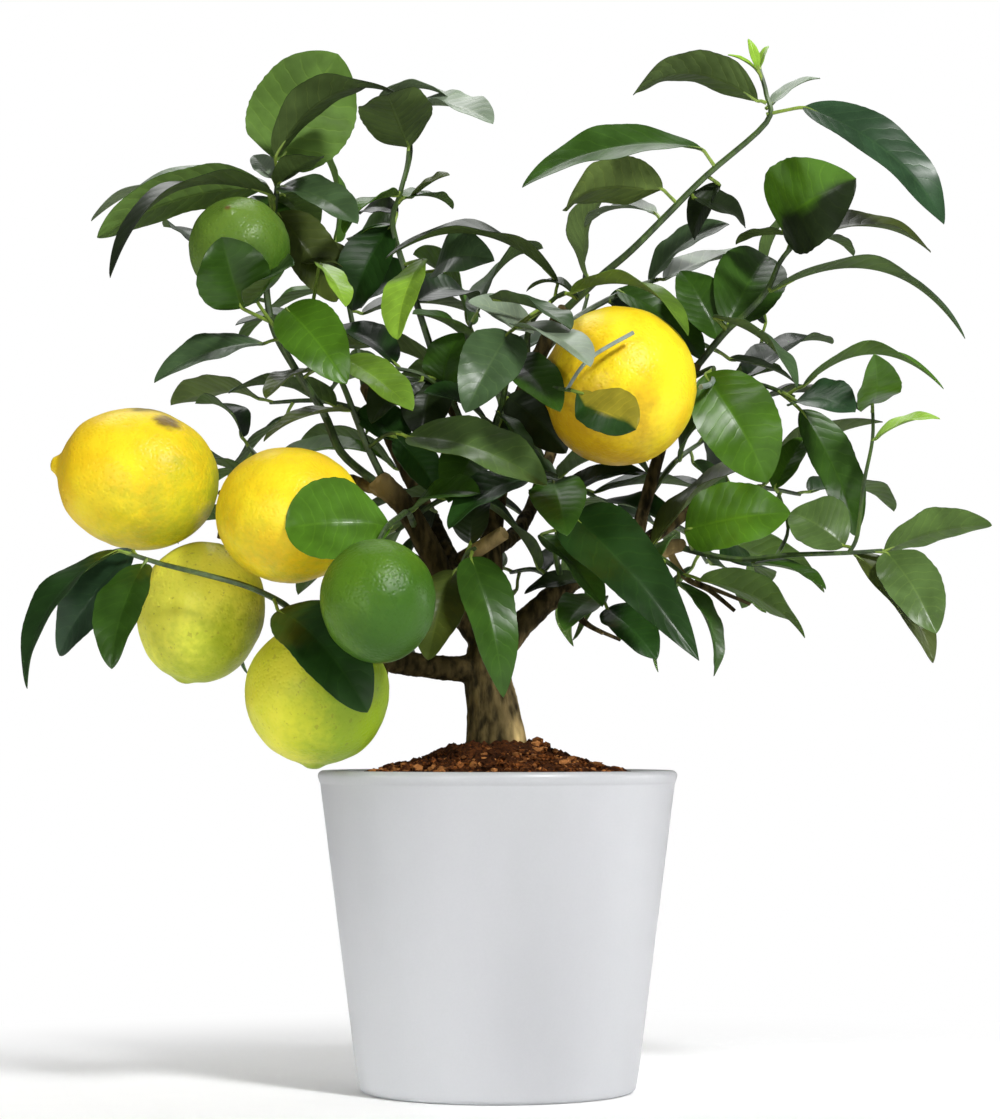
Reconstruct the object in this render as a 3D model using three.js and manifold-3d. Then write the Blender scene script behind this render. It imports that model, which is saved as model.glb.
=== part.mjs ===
// A small lemon tree in a round white pot: pot, soil, woody frame, seven fruits and leafy shoots.
// Millimetres, +Z up. The origin is the middle of the pot's flat foot; the front of the tree faces -Y.
import * as THREE from 'three';
import { mergeVertices } from 'three/addons/utils/BufferGeometryUtils.js';
import Module from 'manifold-3d';

const wasm = await Module();
wasm.setup();

// ---------------------------------------------------------------- driving dimensions

const GAP = 0.3;                  // clearance between pieces that touch
const CUT_SKIN = 0.39;            // skin that leaves that clearance along a flat side too
const POT_HEIGHT = 142;
const POT_RIM_RADIUS = 80;
const POT_FOOT_RADIUS = 61.5;
const POT_FOOT_ROUND = 3;
const POT_WALL = 5;
const POT_FLOOR = 7;
const POT_LIP_HEIGHT = 6;         // the thin band under the rim
const POT_LIP_STEP = 0.8;
const POT_SIDES = 32;
const SOIL_EDGE_HEIGHT = 137;     // where the soil meets the pot
const SOIL_PEAK_HEIGHT = 155;
const SOIL_SIDES = 22;
const SOIL_RINGS = 5;
const SOIL_CRUMB = 1.5;           // height of the loose crumbs on top
const TRUNK_FOOT_HEIGHT = 92;
const JOIN_TOLERANCE = 0.27;
const MERGE_DISTANCE = 1e-3;
const MERGE_PASSES = 3;
const LEAF_THICKNESS = 0.75;
const LEAF_FOLD = THREE.MathUtils.degToRad(17);
const LEAF_WAVE = 0.035;          // waviness of the blade, as a share of its width
const LEAF_NOTCH = 0.035;         // depth of the blunt teeth, as a share of the half width
const PETIOLE_RADIUS = 0.95;
const LEAF_CLEARANCE = 0.35;      // extra skin round a blade while its place is tried
const FRUIT_SIDES = 12;
const FINE_STATIONS = [0, 0.14, 0.42, 0.74, 1];
const COARSE_STATIONS = [0.1, 0.42, 0.74, 1];
const OUTER_STATIONS = [0.4, 0.7, 1];
const SMALL_LEAF = 24;            // width under which a leaf has the coarse stations

// The front of the tree was measured from one point of view. A point's x and z are read on the
// plane y = 0, and the point then lies on its line of sight at the depth y.
const EYE = new THREE.Vector3(1.1, -1500, 158);

function seen(x, z, y) {
  const reach = (y - EYE.y) / -EYE.y;
  return new THREE.Vector3(EYE.x + (x - EYE.x) * reach, y, EYE.z + (z - EYE.z) * reach);
}

// Moves a point along its line of sight, so that it looks the same from the front.
function pushed(point, depth) {
  const reach = (point.y + depth - EYE.y) / (point.y - EYE.y);
  return point.clone().sub(EYE).multiplyScalar(reach).add(EYE);
}

// ---------------------------------------------------------------- colours

const COLOURS = {
  pot: 0xe3e6e8,
  soil: 0x6b3420,
  wood: 0x5f4a33,
  leaf: 0x2f6a1c,
  yellow: 0xf5c60c,
  lime: 0xb3b52a,
  green: 0x2f8a1f,
};

function material(colour, roughness) {
  return new THREE.MeshStandardMaterial({ color: COLOURS[colour], roughness, metalness: 0 });
}

const MATERIALS = {
  pot: material('pot', 0.25),
  soil: material('soil', 0.95),
  wood: material('wood', 0.8),
  leaf: material('leaf', 0.35),
  yellow: material('yellow', 0.4),
  lime: material('lime', 0.4),
  green: material('green', 0.4),
};

// ---------------------------------------------------------------- solids

function solidOf(geometry) {
  const bare = geometry.clone();
  bare.deleteAttribute('normal');
  bare.deleteAttribute('uv');
  const merged = mergeVertices(bare, MERGE_DISTANCE);
  return new wasm.Manifold(new wasm.Mesh({
    numProp: 3,
    vertProperties: new Float32Array(merged.attributes.position.array),
    triVerts: new Uint32Array(merged.index.array),
  }));
}

function geometryOf(solid) {
  const mesh = solid.getMesh();
  const geometry = new THREE.BufferGeometry();
  geometry.setAttribute('position', new THREE.BufferAttribute(mesh.vertProperties, 3));
  geometry.setIndex(new THREE.BufferAttribute(mesh.triVerts, 1));
  geometry.computeVertexNormals();
  return geometry;
}

function joined(solids) {
  return solids.reduce((sum, solid) => sum.add(solid));
}

function largest(bodies) {
  return bodies.reduce((best, body) => (body.volume() > best.volume() ? body : best));
}

// The main body of a joined solid, with its flat faces made whole again. A loose scrap is dropped,
// and so is a sealed hollow, which may come loose only once the nearest points are merged.
function mainBody(solid) {
  let body = largest(largest(solid.decompose()).asOriginal().simplify(JOIN_TOLERANCE).decompose());
  for (let pass = 0; pass < MERGE_PASSES; pass += 1) {
    body = largest(solidOf(geometryOf(body)).decompose());
  }
  return body;
}

// A closed skin over rings of points that all have the same number of points. The two faces of a
// flat ring (first half of its points, second half in reverse order) are split alike.
function loft(rings) {
  const count = rings[0].length;
  const half = count / 2;
  const positions = rings.flat().flatMap((p) => [p.x, p.y, p.z]);
  const faces = [];
  for (let ring = 0; ring + 1 < rings.length; ring += 1) {
    for (let side = 0; side < count; side += 1) {
      const next = (side + 1) % count;
      const [a, b] = [ring * count + side, ring * count + next];
      const [c, d] = [a + count, b + count];
      if (side < half) faces.push(a, b, d, a, d, c);
      else faces.push(a, b, c, b, d, c);
    }
  }
  const last = (rings.length - 1) * count;
  for (let side = 1; side + 1 < count; side += 1) {
    faces.push(0, side + 1, side, last, last + side, last + side + 1);
  }
  const geometry = new THREE.BufferGeometry();
  geometry.setAttribute('position', new THREE.Float32BufferAttribute(positions, 3));
  geometry.setIndex(faces);
  const solid = solidOf(geometry);
  if (solid.volume() > 0) return solid;
  for (let face = 0; face < faces.length; face += 3) {
    [faces[face + 1], faces[face + 2]] = [faces[face + 2], faces[face + 1]];
  }
  geometry.setIndex(faces);
  return solidOf(geometry);
}

// A tapering round limb along a list of points, one radius each, with the given number of sides.
function limb(points, radii, sides) {
  let across = new THREE.Vector3(0.31, 0.77, 0.55);
  const rings = points.map((point, index) => {
    const before = points[Math.max(index - 1, 0)];
    const after = points[Math.min(index + 1, points.length - 1)];
    const along = after.clone().sub(before).normalize();
    across = across.clone().addScaledVector(along, -across.dot(along)).normalize();
    const up = along.clone().cross(across);
    return Array.from({ length: sides }, (_, side) => {
      const angle = side / sides * 2 * Math.PI;
      return point.clone()
        .addScaledVector(across, radii[index] * Math.cos(angle))
        .addScaledVector(up, radii[index] * Math.sin(angle));
    });
  });
  return loft(rings);
}

// ---------------------------------------------------------------- pot and soil

function arc(cx, cy, radius, from, to, steps) {
  return Array.from({ length: steps + 1 }, (_, step) => {
    const angle = THREE.MathUtils.degToRad(from + (to - from) * step / steps);
    return new THREE.Vector2(cx + radius * Math.cos(angle), cy + radius * Math.sin(angle));
  });
}

function latheSolid(profile, sides) {
  const geometry = new THREE.LatheGeometry(profile, sides);
  geometry.rotateX(Math.PI / 2);
  const solid = solidOf(geometry);
  if (solid.volume() > 0) return solid;
  return solidOf(new THREE.LatheGeometry(profile.slice().reverse(), sides).rotateX(Math.PI / 2));
}

function potRadius(height) {
  return POT_FOOT_RADIUS + (POT_RIM_RADIUS - POT_FOOT_RADIUS) * height / POT_HEIGHT;
}

function makePot() {
  const lipRadius = POT_WALL / 2;
  const lipBottom = POT_HEIGHT - POT_LIP_HEIGHT;
  const profile = [
    new THREE.Vector2(0, 0),
    ...arc(POT_FOOT_RADIUS - POT_FOOT_ROUND, POT_FOOT_ROUND, POT_FOOT_ROUND, -90, 0, 1),
    new THREE.Vector2(potRadius(lipBottom) - POT_LIP_STEP, lipBottom),
    new THREE.Vector2(potRadius(lipBottom + POT_LIP_STEP), lipBottom + POT_LIP_STEP),
    ...arc(POT_RIM_RADIUS - lipRadius, POT_HEIGHT - lipRadius, lipRadius, 0, 180, 2),
    new THREE.Vector2(potRadius(POT_FLOOR) - POT_WALL, POT_FLOOR),
    new THREE.Vector2(0, POT_FLOOR),
  ];
  return latheSolid(profile, POT_SIDES);
}

function soilTop(radius, angle) {
  const edge = potRadius(SOIL_EDGE_HEIGHT) - POT_WALL;
  const dome = SOIL_EDGE_HEIGHT + (SOIL_PEAK_HEIGHT - SOIL_EDGE_HEIGHT) * (1 - (radius / edge) ** 2);
  const crumbs = Math.sin(angle * 9 + radius * 0.9) * Math.cos(angle * 5 - radius * 1.7);
  return dome + SOIL_CRUMB * crumbs;
}

function makeSoil() {
  const foot = POT_FLOOR + GAP;
  const footRadius = potRadius(foot) - POT_WALL - 2 * GAP;
  const edgeRadius = potRadius(SOIL_EDGE_HEIGHT) - POT_WALL - 2 * GAP;
  const ringOf = (radius, height) => Array.from({ length: SOIL_SIDES }, (_, side) => {
    const angle = side / SOIL_SIDES * 2 * Math.PI;
    const z = height ?? soilTop(radius, angle);
    return new THREE.Vector3(radius * Math.cos(angle), radius * Math.sin(angle), z);
  });
  const rings = [ringOf(footRadius, foot), ringOf(edgeRadius, SOIL_EDGE_HEIGHT - SOIL_CRUMB)];
  for (let ring = 0; ring < SOIL_RINGS; ring += 1) {
    rings.push(ringOf((edgeRadius - 2) * (1 - ring / SOIL_RINGS)));
  }
  return loft(rings);
}

// ---------------------------------------------------------------- wood

// Each limb: points as seen from the front [x, z, depth], then the radii at both ends.
const TRUNK = {
  points: [
    [0, TRUNK_FOOT_HEIGHT, 0], [0, 134, 0], [-0.5, 153, 0], [-2, 170, 0],
    [-4, 181, 0], [-4, 196, 2], [-3, 214, 5],
  ],
  radii: [11, 13.5, 14.5, 12, 11, 10, 7],
};
const BOUGHS = [
  {
    points: [
      [-5, 187, 0], [-30, 188, -8], [-60, 193, -22], [-77, 201, -32], [-93, 214, -45],
    ],
    from: 6.5,
    to: 2.8,
  },
  {
    points: [
      [-3, 193, 2], [-20, 220, -4], [-33, 245, -9], [-42, 260, -12], [-54, 272, -14],
    ],
    from: 6.5,
    to: 4.6,
  },
  {
    points: [
      [-2, 190, 0], [10, 206, 3], [28, 222, 6], [47, 234, 8], [72, 240, 10], [84, 243, 8],
    ],
    from: 6.8,
    to: 2.6,
  },
  {
    points: [
      [-3, 205, 4], [-2, 255, 14], [8, 300, 20], [22, 335, 14], [30, 350, 7],
    ],
    from: 6.2,
    to: 2.6,
  },
  { points: [[-2, 250, 13], [-14, 288, 12], [-27, 322, 8]], from: 4, to: 2.4 },
  { points: [[60, 238, 9], [68, 268, 16], [78, 300, 17], [90, 324, 12]], from: 3.6, to: 2.2 },
  { points: [[-3, 240, 10], [10, 250, 40], [20, 272, 65], [28, 298, 85]], from: 4.2, to: 2.6 },
  { points: [[-12, 212, 0], [-26, 246, 36], [-44, 282, 60], [-60, 314, 80]], from: 5, to: 2.6 },
  { points: [[50, 235, 8], [78, 252, 38], [100, 272, 60]], from: 3.8, to: 2.6 },
  { points: [[-24, 228, -4], [-60, 246, 30], [-98, 262, 48]], from: 4, to: 2.6 },
  { points: [[-46, 264, -12], [-70, 272, -2], [-100, 266, 0], [-121, 260, -6]], from: 3, to: 2 },
];
const TWIGLETS = [
  { points: [[-16, 236, -4], [-8, 241, -16], [3, 248, -24]], from: 3.6, to: 3.2 },
  { points: [[-50, 190, -18], [-51, 180, -22]], from: 2, to: 1.4 },
  { points: [[76, 241, 10], [84, 228, 6], [95, 222, 2], [106, 213, 0]], from: 1.8, to: 0.9 },
  { points: [[88, 226, 4], [101, 221, 6], [113, 216, 6]], from: 1.2, to: 0.8 },
  { points: [[30, 223, 6], [36, 210, 2], [47, 203, -4]], from: 1.6, to: 0.9 },
  { points: [[35, 213, 3], [42, 206, 10], [55, 200, 12]], from: 1.2, to: 0.8 },
  { points: [[-60, 193, -22], [-70, 203, -24], [-74, 214, -22]], from: 1.6, to: 0.9 },
];
// The short stalks that the fruits hang from; each ends against its fruit.
const FRUIT_STALKS = [
  { points: [[-119, 260, -6], [-122, 265, -14], [-129, 267, -20]], from: 1.6, to: 1.3 },
  { points: [[-118, 260, -6], [-119, 260, -20], [-116, 259, -36]], from: 1.6, to: 1.3 },
  { points: [[-120, 260, -6], [-123, 252, -9], [-125, 240, -12]], from: 1.6, to: 1.3 },
  { points: [[-87, 209, -40], [-83, 214, -52], [-79, 203, -62]], from: 1.6, to: 1.3 },
];
const TRUNK_SIDES = 10;
const BOUGH_SIDES = 6;
const TWIG_SIDES = 4;

function taper(branch, count) {
  return Array.from({ length: count }, (_, index) => (
    THREE.MathUtils.lerp(branch.from, branch.to, index / (count - 1))
  ));
}

function branchSolid(branch, sides, skin) {
  const points = branch.points.map(([x, z, y]) => seen(x, z, y));
  const radii = (branch.radii ?? taper(branch, points.length)).map((radius) => radius + skin);
  if (skin > 0) {
    const end = points[points.length - 1];
    end.add(end.clone().sub(points[points.length - 2]).setLength(skin));
  }
  return limb(points, radii, sides);
}

function makeWood(skin) {
  return joined([
    branchSolid(TRUNK, TRUNK_SIDES, skin),
    ...BOUGHS.map((bough) => branchSolid(bough, BOUGH_SIDES, skin)),
    ...[...TWIGLETS, ...FRUIT_STALKS].map((twig) => branchSolid(twig, TWIG_SIDES, skin)),
  ]);
}

// ---------------------------------------------------------------- fruits

// centre [x, z, depth], radius, half of the length, and the way its blossom end faces [x, y, z]
const FRUITS = {
  lemon_far_left: {
    centre: [-160, 272, -20], radius: 31.6, half: 35,
    towards: [-0.97, 0, 0.17],
    look: 'yellow',
  },
  lemon_left: {
    centre: [-93, 256, -52], radius: 30, half: 34,
    towards: [0.75, -0.62, -0.1],
    look: 'yellow',
  },
  lemon_lower_left: {
    centre: [-132, 214, -12], radius: 28.5, half: 30,
    towards: [-0.25, 0, -0.96],
    look: 'lime',
  },
  lemon_lowest: {
    centre: [-80.5, 177, -62], radius: 31, half: 29.5,
    towards: [-0.05, 0, -1],
    look: 'lime',
  },
  lemon_unripe_centre: {
    centre: [-53.5, 218, -107], radius: 24.2, half: 25.5,
    towards: [0.1, -0.1, -0.98],
    look: 'green',
  },
  lemon_right: {
    centre: [54.5, 314, -40], radius: 35.3, half: 34,
    towards: [-0.99, 0, 0.07],
    look: 'yellow',
  },
  lemon_unripe_upper: {
    centre: [-116, 376, -24], radius: 22.5, half: 22,
    towards: [-0.15, -0.72, 0.6],
    look: 'green',
  },
};
const NIPPLE = { start: 0.9, reach: 1.16, radius: 0.17 };

// The outline of a fruit from its stem end to the tip of its nipple, as shares of its size.
function fruitProfile(radius, half) {
  const turns = [-90, -68, -44, -20, 4, 27, 48];
  const body = turns.map((turn) => {
    const angle = THREE.MathUtils.degToRad(turn);
    return new THREE.Vector2(radius * Math.cos(angle), half * Math.sin(angle));
  });
  body[0].x = 0;
  return [
    ...body,
    new THREE.Vector2(radius * NIPPLE.radius * 2.1, half * NIPPLE.start),
    new THREE.Vector2(radius * NIPPLE.radius, half * (NIPPLE.start + NIPPLE.reach) / 2),
    new THREE.Vector2(radius * NIPPLE.radius * 0.55, half * (NIPPLE.reach - 0.02)),
    new THREE.Vector2(0, half * NIPPLE.reach),
  ];
}

function fruitSolid(fruit, skin) {
  const profile = fruitProfile(fruit.radius + skin, fruit.half + skin);
  const geometry = new THREE.LatheGeometry(profile, FRUIT_SIDES);
  const turn = new THREE.Quaternion();
  turn.setFromUnitVectors(new THREE.Vector3(0, 1, 0), new THREE.Vector3(...fruit.towards).normalize());
  geometry.applyQuaternion(turn);
  geometry.translate(...seen(...fruit.centre).toArray());
  return solidOf(geometry);
}

// ---------------------------------------------------------------- leaves

function bladeProfile(t) {
  const rise = 0.56;
  const fall = 0.7;
  const top = (rise / (rise + fall)) ** rise * (fall / (rise + fall)) ** fall;
  return t ** rise * (1 - t) ** fall / top;
}

// The blade's own directions: along its rib, across it, and out of its upper face. A roll of 0
// turns the upper face to the front, 90 turns it up and 180 turns it to the back.
function bladeFrame(leaf) {
  const along = leaf.tip.clone().sub(leaf.base);
  const length = along.length();
  along.normalize();
  const front = new THREE.Vector3(0, -1, 0);
  front.addScaledVector(along, -front.dot(along)).normalize();
  const upward = along.clone().cross(front);
  if (upward.z < 0) upward.negate();
  const roll = THREE.MathUtils.degToRad(leaf.roll);
  const face = front.clone().multiplyScalar(Math.cos(roll)).addScaledVector(upward, Math.sin(roll));
  const across = face.clone().cross(along);
  return { along, across, face, length };
}

// Left edge, rib and right edge of the blade at the share t of its length.
function bladePoints(leaf, frame, t, notch) {
  const rib = leaf.base.clone()
    .addScaledVector(frame.along, frame.length * t)
    .addScaledVector(frame.face, leaf.arch * 4 * t * (1 - t));
  const half = Math.max(leaf.width / 2 * bladeProfile(t) * (1 + notch), PETIOLE_RADIUS);
  const lift = half * Math.sin(LEAF_FOLD);
  const wave = leaf.width * LEAF_WAVE * Math.sin(3 * Math.PI * t);
  const edge = (side) => rib.clone()
    .addScaledVector(frame.across, side * half * Math.cos(LEAF_FOLD))
    .addScaledVector(frame.face, lift + side * wave);
  return [edge(-1), rib, edge(1)];
}

// Six points round a blade: its upper face from left to right, then its lower face back again.
function bladeRing(points, face, thickness) {
  const lifted = (point, way) => point.clone().addScaledVector(face, way * thickness / 2);
  const upper = points.map((point) => lifted(point, 1));
  const lower = points.map((point) => lifted(point, -1)).reverse();
  return [...upper, ...lower];
}

function petioleRing(leaf, frame, skin) {
  const along = leaf.base.clone().sub(leaf.root).normalize();
  const across = frame.across.clone().addScaledVector(along, -frame.across.dot(along)).normalize();
  const face = along.clone().cross(across);
  if (face.dot(frame.face) < 0) face.negate();
  const radius = PETIOLE_RADIUS + skin;
  const points = [-1, 0, 1].map((side) => leaf.root.clone().addScaledVector(across, side * radius));
  return bladeRing(points, face, 2 * radius);
}

function bladeRings(leaf, frame, stations, skin) {
  return stations.map((t, index) => {
    const notch = index % 2 === 0 ? LEAF_NOTCH : -LEAF_NOTCH;
    const points = bladePoints(leaf, frame, t, notch);
    points[0].addScaledVector(frame.across, -skin);
    points[2].addScaledVector(frame.across, skin);
    return bladeRing(points, frame.face, LEAF_THICKNESS + (t === 0 ? PETIOLE_RADIUS : 0) + 2 * skin);
  });
}

function leafSolid(leaf, skin) {
  const frame = bladeFrame(leaf);
  return loft([petioleRing(leaf, frame, skin), ...bladeRings(leaf, frame, leaf.stations, skin)]);
}

// The blade's outer part alone, which has to clear the leaves of its own shoot too.
function outerBlade(leaf) {
  return loft(bladeRings(leaf, bladeFrame(leaf), OUTER_STATIONS, 0));
}

// ---------------------------------------------------------------- shoots on the front and sides

// stems: points [x, z, depth] as seen from the front, with the radii at both ends.
// leaves: [base x, base z, base depth, tip x, tip z, tip depth, width, roll, arch] of each blade.
const SHOOTS = {
  shoot_right_leader: {
    stems: [
      {
        points: [
          [26, 344, 9], [46, 363, 4], [60, 375, 0], [76, 391, -4], [94, 409, -8], [121, 433, -12],
          [121, 446, -12], [118, 457, -12],
        ],
        from: 2.3,
        to: 1.3,
      },
    ],
    leaves: [
      [117, 443, -13, 61, 446, -30, 28, 112, 13],
      [123, 441, -10, 145, 454, 4, 10, 62, 2],
      [138, 440, -14, 202, 389, -28, 30, 42, 8],
      [92, 421, -9, 11, 405, -28, 27, 55, 9],
      [74, 403, -6, 30, 398, -44, 30, 122, 7],
      [71, 392, 4, 39, 387, 32, 18, 72, 5],
      [88, 399, -2, 112, 386, 18, 17, 40, 4],
      [117, 458, -12, 113, 471, -12, 4.5, 20, 1],
      [117, 457, -13, 104, 464, -18, 4, 60, 1],
      [118, 458, -11, 122, 468, -4, 4, 40, 1],
    ],
  },
  shoot_right_second: {
    stems: [
      {
        points: [
          [88, 321, 13], [102, 338, 9], [111, 346, 6], [121, 357, 4], [127, 370, 2], [135, 380, 0],
        ],
        from: 2.1,
        to: 1.3,
      },
    ],
    leaves: [
      [128, 384, -3, 163, 405, -36, 40, 6, 9],
      [137, 381, 0, 195, 376, 14, 28, 66, 8],
      [133, 382, 4, 107, 379, 26, 14, 84, 2],
      [138, 382, 2, 160, 373, 30, 14, 82, 3],
      [123, 357, 2, 210, 336, -12, 27, 80, 20],
      [97, 345, 0, 135, 314, -22, 22, 72, 6],
      [104, 326, 20, 134, 316, 34, 11, 75, 2],
      [103, 341, 14, 121, 374, 50, 34, 8, 6],
    ],
  },
  shoot_right_inner: {
    stems: [{ points: [[20, 331, 15], [36, 345, 30], [58, 357, 34], [72, 362, 36]], from: 2, to: 1.3 }],
    leaves: [
      [68, 360, 36, 104, 387, 22, 24, 64, 5],
      [75, 362, 36, 126, 370, 52, 25, 66, 6],
      [54, 357, 32, 93, 326, 30, 24, 40, 5],
      [50, 352, 33, 60, 330, 78, 28, 70, 6],
    ],
  },
  shoot_over_fruit: {
    stems: [
      {
        points: [
          [14, 318, 18], [14, 340, 2], [24, 352, -14], [30, 356, -20],
        ],
        from: 1.9,
        to: 1.2,
      },
    ],
    leaves: [
      [33, 356, -21, 86, 338, -52, 26, 82, 12],
      [27, 361, -12, -50, 374, -30, 30, 80, 15],
      [8, 341, -40, 42, 325, -88, 24, 58, 3],
      [-2, 353, -34, 33, 340, -68, 26, 68, 3],
      [5, 338, -48, -14, 303, -76, 28, 6, 5],
    ],
  },
  shoot_right_middle: {
    stems: [
      {
        points: [
          [82, 308, 16], [96, 316, 24], [116, 315, 20], [133, 309, 8],
        ],
        from: 1.8,
        to: 1.1,
      },
    ],
    leaves: [
      [137, 314, 4, 200, 313, -10, 24, 82, 15],
      [134, 307, 3, 160, 303, -32, 26, 40, 4],
      [136, 303, 8, 161, 247, 16, 25, 32, 5],
      [112, 318, 26, 150, 335, 52, 26, 60, 6],
    ],
  },
  shoot_beside_fruit: {
    stems: [{ points: [[88, 318, 13], [96, 322, 2], [97, 321, -14]], from: 1.6, to: 1.2 }],
    leaves: [
      [93, 319, -18, 121, 271, -52, 38, 8, 5],
    ],
    stalks: [{ points: [[96, 321, -8], [96, 315, -26], [88, 313, -40]], from: 1.5, to: 1.5 }],
  },
  shoot_low_right: {
    stems: [
      {
        points: [
          [80, 242, 9], [95, 238, 4], [110, 236, 0], [130, 238, -4], [157, 239, -8],
          [172, 240, -10],
        ],
        from: 2.1,
        to: 1.2,
      },
      { points: [[125, 238, -3], [130, 250, 6], [125, 268, 10]], from: 1.2, to: 0.9 },
      {
        points: [
          [157, 239, -8], [161, 247, -8], [164, 270, -6], [168, 290, -4], [168, 306, -2],
        ],
        from: 1.4,
        to: 1,
      },
    ],
    leaves: [
      [84, 249, -12, 131, 257, -34, 34, 14, 5],
      [155, 242, -5, 131, 257, 34, 28, 22, 4],
      [173, 240, -10, 221, 252, -4, 24, 132, 4],
      [174, 239, -10, 196, 203, -34, 27, 16, 4],
      [160, 238, -8, 195, 190, 6, 22, 48, 6],
      [114, 234, 0, 147, 224, -20, 15, 70, 3],
      [124, 268, 9, 138, 291, 24, 14, 30, 2],
      [168, 306, -3, 169, 328, -42, 22, 8, 4],
      [169, 290, -4, 198, 300, -12, 13, 74, 3],
      [100, 237, 3, 118, 226, 44, 26, 70, 5],
    ],
  },
  shoot_low_centre: {
    stems: [
      {
        points: [
          [30, 223, 6], [26, 238, -10], [27, 254, -24], [22, 270, -34],
        ],
        from: 2,
        to: 1.2,
      },
    ],
    leaves: [
      [33, 256, -32, 90, 191, -66, 34, 22, 7],
      [19, 247, -24, 47, 215, -44, 21, 48, 3],
      [25, 271, -36, 31, 248, -72, 26, 4, 3],
      [20, 272, -34, -22, 250, -64, 26, 62, 6],
    ],
  },
  shoot_low_inner: {
    stems: [{ points: [[40, 230, 7], [46, 222, -6], [48, 216, -10]], from: 1.6, to: 1.2 }],
    leaves: [
      [49, 214, -11, 71, 192, -34, 22, 24, 3],
      [45, 219, -10, 30, 205, -44, 20, 40, 3],
    ],
  },
  shoot_trunk_front: {
    stems: [
      {
        points: [
          [-18, 217, -3], [-17, 228, -18], [-14, 238, -30], [-10, 241, -36],
        ],
        from: 1.8,
        to: 1.2,
      },
    ],
    leaves: [
      [-12, 237, -37, 3, 175, -52, 27, 14, 8],
      [-19, 231, -28, -31, 191, -46, 25, 18, 5],
    ],
  },
  shoot_centre: {
    stems: [
      {
        points: [
          [-1, 268, 15], [-3, 288, -4], [2, 306, -18], [6, 318, -34], [20, 314, -66],
          [33, 312, -84],
        ],
        from: 2,
        to: 1.1,
      },
    ],
    leaves: [
      [36, 311, -86, 63, 301, -104, 22, 30, 3],
      [4, 326, -40, 28, 303, -86, 22, 30, 3],
      [0, 302, -16, 14, 279, -40, 16, 62, 2],
      [-4, 296, -10, -32, 312, -38, 22, 60, 4],
      [-3, 290, -4, -22, 262, -32, 26, 30, 5],
    ],
    stalks: [{ points: [[31, 312, -82], [41, 326, -82], [61, 338, -78]], from: 1, to: 1.2 }],
  },
  shoot_left_inner: {
    stems: [
      {
        points: [
          [-49, 268, -13], [-58, 286, -20], [-64, 301, -24], [-70, 316, -22], [-80, 336, -14],
          [-86, 350, -8],
        ],
        from: 2.1,
        to: 1.2,
      },
      { points: [[-58, 286, -20], [-50, 292, -28], [-43, 293, -32]], from: 1.3, to: 1 },
    ],
    leaves: [
      [-40, 291, -33, 22, 270, -66, 33, 46, 6],
      [-69, 326, -22, -38, 303, -48, 22, 38, 3],
      [-95, 349, -20, -68, 316, -46, 29, 12, 5],
      [-80, 369, -6, -68, 350, -34, 16, 50, 2],
      [-66, 303, -24, -105, 290, -40, 16, 72, 4],
      [-64, 300, -22, -38, 288, -8, 22, 40, 4],
    ],
  },
  shoot_left_tall: {
    stems: [
      {
        points: [
          [-55, 271, -14], [-70, 284, -8], [-78, 302, -4], [-91, 322, 0], [-101, 341, 6],
          [-104, 365, 11], [-101, 388, 9], [-99, 405, 4], [-99, 414, 2],
        ],
        from: 2.5,
        to: 1.4,
      },
      {
        points: [
          [-77, 300, -5], [-88, 318, -14], [-96, 332, -20], [-102, 345, -24],
        ],
        from: 1.6,
        to: 1.1,
      },
      { points: [[-103, 352, 9], [-116, 356, 14], [-128, 366, 14]], from: 1.4, to: 1 },
    ],
    leaves: [
      [-98, 415, 2, -66, 467, 12, 47, 170, 5],
      [-100, 418, -3, -45, 447, -36, 30, 108, 14],
      [-99, 405, -1, -79, 418, -28, 17, 104, 2],
      [-101, 408, 6, -110, 418, 12, 12, 20, 1],
      [-97, 404, 2, -63, 388, -30, 25, 40, 4],
      [-97, 401, 9, -82, 383, 34, 22, 150, 3],
      [-105, 404, 3, -180, 381, -8, 30, 122, 7],
      [-101, 400, -3, -175, 365, -52, 27, 72, 20],
      [-104, 405, 10, -183, 390, 42, 24, 80, 10],
      [-94, 368, 14, -110, 400, 44, 24, 24, 4],
      [-105, 333, -22, -154, 316, -46, 22, 52, 5],
      [-82, 321, -14, -104, 309, -46, 18, 56, 3],
      [-115, 349, -40, -124, 381, -56, 31, 4, 3],
      [-108, 352, -26, -92, 369, -46, 22, 62, 3],
      [-132, 370, 12, -142, 354, 2, 17, 8, 2],
      [-126, 366, 17, -150, 386, 48, 26, 66, 5],
    ],
    stalks: [{ points: [[-103, 358, 10], [-108, 360, 4], [-113, 364, -8]], from: 1.3, to: 1.4 }],
  },
  shoot_upper_centre: {
    stems: [
      {
        points: [
          [-26, 319, 9], [-36, 350, 7], [-47, 385, 4], [-44, 400, 2], [-41, 412, 0], [-40, 420, 0],
        ],
        from: 2.1,
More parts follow.
